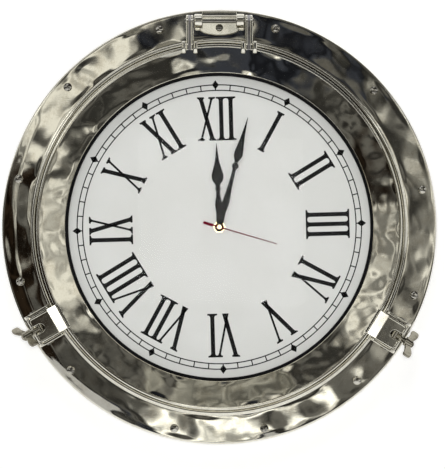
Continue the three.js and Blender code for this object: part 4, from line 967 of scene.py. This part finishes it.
hand_thickness, hand_hub, hub_bevel = 0.6, 5.2, 0.12
second_back, second_turn = 34.4, 106.3
second_plan = rounded([(0.75, 0, 0.1), (0.5, 69.6, 0.3), (-0.5, 69.6, 0.3), (-0.75, 0, 0.1),
                       (-0.75, -7.6, 0.1), (-1.75, -7.6, 0.3), (-1.75, -19.5, 0.5), (1.75, -19.5, 0.5),
                       (1.75, -7.6, 0.3), (0.75, -7.6, 0.1)])
hour_shares = [
    (0.04, 0.5), (0.144, 0.37), (0.2, 0.44), (0.27, 0.61), (0.34, 0.4), (0.411, 0.26), (0.435, 0.27),
    (0.448, 0.47), (0.468, 0.47), (0.481, 0.27), (0.5, 0.29), (0.55, 0.76), (0.603, 1), (0.66, 0.82),
    (0.72, 0.56), (0.79, 0.34), (0.88, 0.17), (1, 0.03),
]
minute_shares = [
    (0.03, 0.7), (0.129, 0.49), (0.17, 0.6), (0.22, 0.81), (0.29, 0.62), (0.402, 0.44), (0.53, 0.33),
    (0.543, 0.74), (0.569, 0.74), (0.582, 0.33), (0.602, 0.38), (0.63, 0.78), (0.662, 1), (0.71, 0.84),
    (0.77, 0.6), (0.84, 0.38), (0.92, 0.2), (1, 0.04),
]
most_cut = 50.0  # longer than any side, so a curve runs from the middle of each side to the next


def blade(shares, length, width):
    """Plan of a spade hand: shares of its length and half width on both sides, drawn as one smooth
    curve of parabolas."""
    right = (np.array(shares) * [length, width / 2])[:, ::-1]
    loop = np.concatenate([right, (right * [-1, 1])[::-1]])
    return rounded(np.column_stack([loop, np.full(len(loop), most_cut)]))


def hub_outline(back, bore):
    """Radius and depth of a hand's flat hub with a bore for its shaft."""
    front = back + hand_thickness
    return np.array([(bore, back), (hand_hub, back), (hand_hub, front - hub_bevel),
                     (hand_hub - hub_bevel, front), (bore, front)])


def spade_hand(name, shares, length, width, back, bore, angle, body):
    """A spade hand with its hub, turned to its place. Stamped sheet has square edges."""
    shells = [stacked(blade(shares, length, width), [(0, back), (0, back + hand_thickness)]),
              lathe(hub_outline(back, bore), 48)]
    made(f"{name}_looks", [turned(shell, angle) for shell in shells], hand_black, body, [name])


hand_black = dull("hand_black", (0.004, 0.004, 0.004), (0.008, 0.008, 0.008), dullness=0.35, gloss=0.06)
spade_hand("hour_hand", hour_shares, length=97.4, width=14.8, back=30.4, bore=2.6, angle=-2, body="hours")
spade_hand("minute_hand", minute_shares, length=131.8, width=10.8, back=32.3, bore=1.6, angle=14.6,
           body="minutes")
cap_turn = np.linspace(0, np.pi / 2, 8)
cap_round = np.stack([2.2 + 0.8 * np.cos(cap_turn), 1.2 + 0.9 * np.sin(cap_turn)], -1)
cap_outline = np.concatenate([[(0, 0), (3, 0), (3, 1.2)], cap_round, [(0, 2.1)]]) + [0, second_back]
red_paint = dull("red_paint", (0.15, 0.002, 0.016), (0.11, 0.002, 0.012), dullness=0.4, gloss=0.06)
sweep = stacked(second_plan, soft(second_back, second_back + hand_thickness, 0.1, 2))
made("second_hand_looks", [turned(sweep, second_turn)], red_paint, "seconds", ["second_hand"])
made("second_hand_cap", [lathe(cap_outline, 40)],
     plated("cap_brass", bright=(0.75, 0.60, 0.33, 1), stain=(0.35, 0.25, 0.12, 1), polish=0.12, dents=0.05),
     "seconds", [])


# Movement. A quartz movement behind the dial in a moulded case: wheels, coil, circuit and dry cell,
# with the shafts that carry the hands through a threaded brass bush.

brass = plated("brass", bright=(0.62, 0.46, 0.22, 1), stain=(0.22, 0.14, 0.07, 1), polish=0.22,
               dent_size=0.004, dents=0.1)
black_plastic = dull("black_plastic", (0.022, 0.022, 0.024), (0.016, 0.016, 0.017), dullness=0.35)
white_plastic = dull("white_plastic", (0.78, 0.78, 0.74), (0.70, 0.70, 0.66), dullness=0.3)
copper = plated("copper_wire", bright=(0.72, 0.33, 0.18, 1), stain=(0.40, 0.16, 0.08, 1), polish=0.28)
circuit = dull("circuit_green", (0.02, 0.12, 0.05), (0.015, 0.085, 0.04), patch_size=0.004, dullness=0.3)
cell_wrap = dull("cell_wrap", (0.03, 0.08, 0.22), (0.025, 0.06, 0.17), patch_size=0.01, dullness=0.3)
dress(black_plastic, "movement_case", "movement_cover", "setting_knob")
dress(white_plastic, "second_wheel", "fourth_wheel", "third_wheel", "centre_wheel", "motion_wheel",
      "hour_wheel")
dress(brass, "bush_nut", "minute_shaft")
dress(steel, "stator", "rotor", "contact_positive", "contact_negative")
dress(copper, "coil")
dress(circuit, "circuit_board")
dress(cell_wrap, "battery")


# Hanger. A pressed steel plate with a keyhole that goes over a screw in the wall. Two steel rivets
# hold it to bosses that are cast behind the flange.

dress(steel, "hanger_plate", "hanger_rivet_left", "hanger_rivet_right")
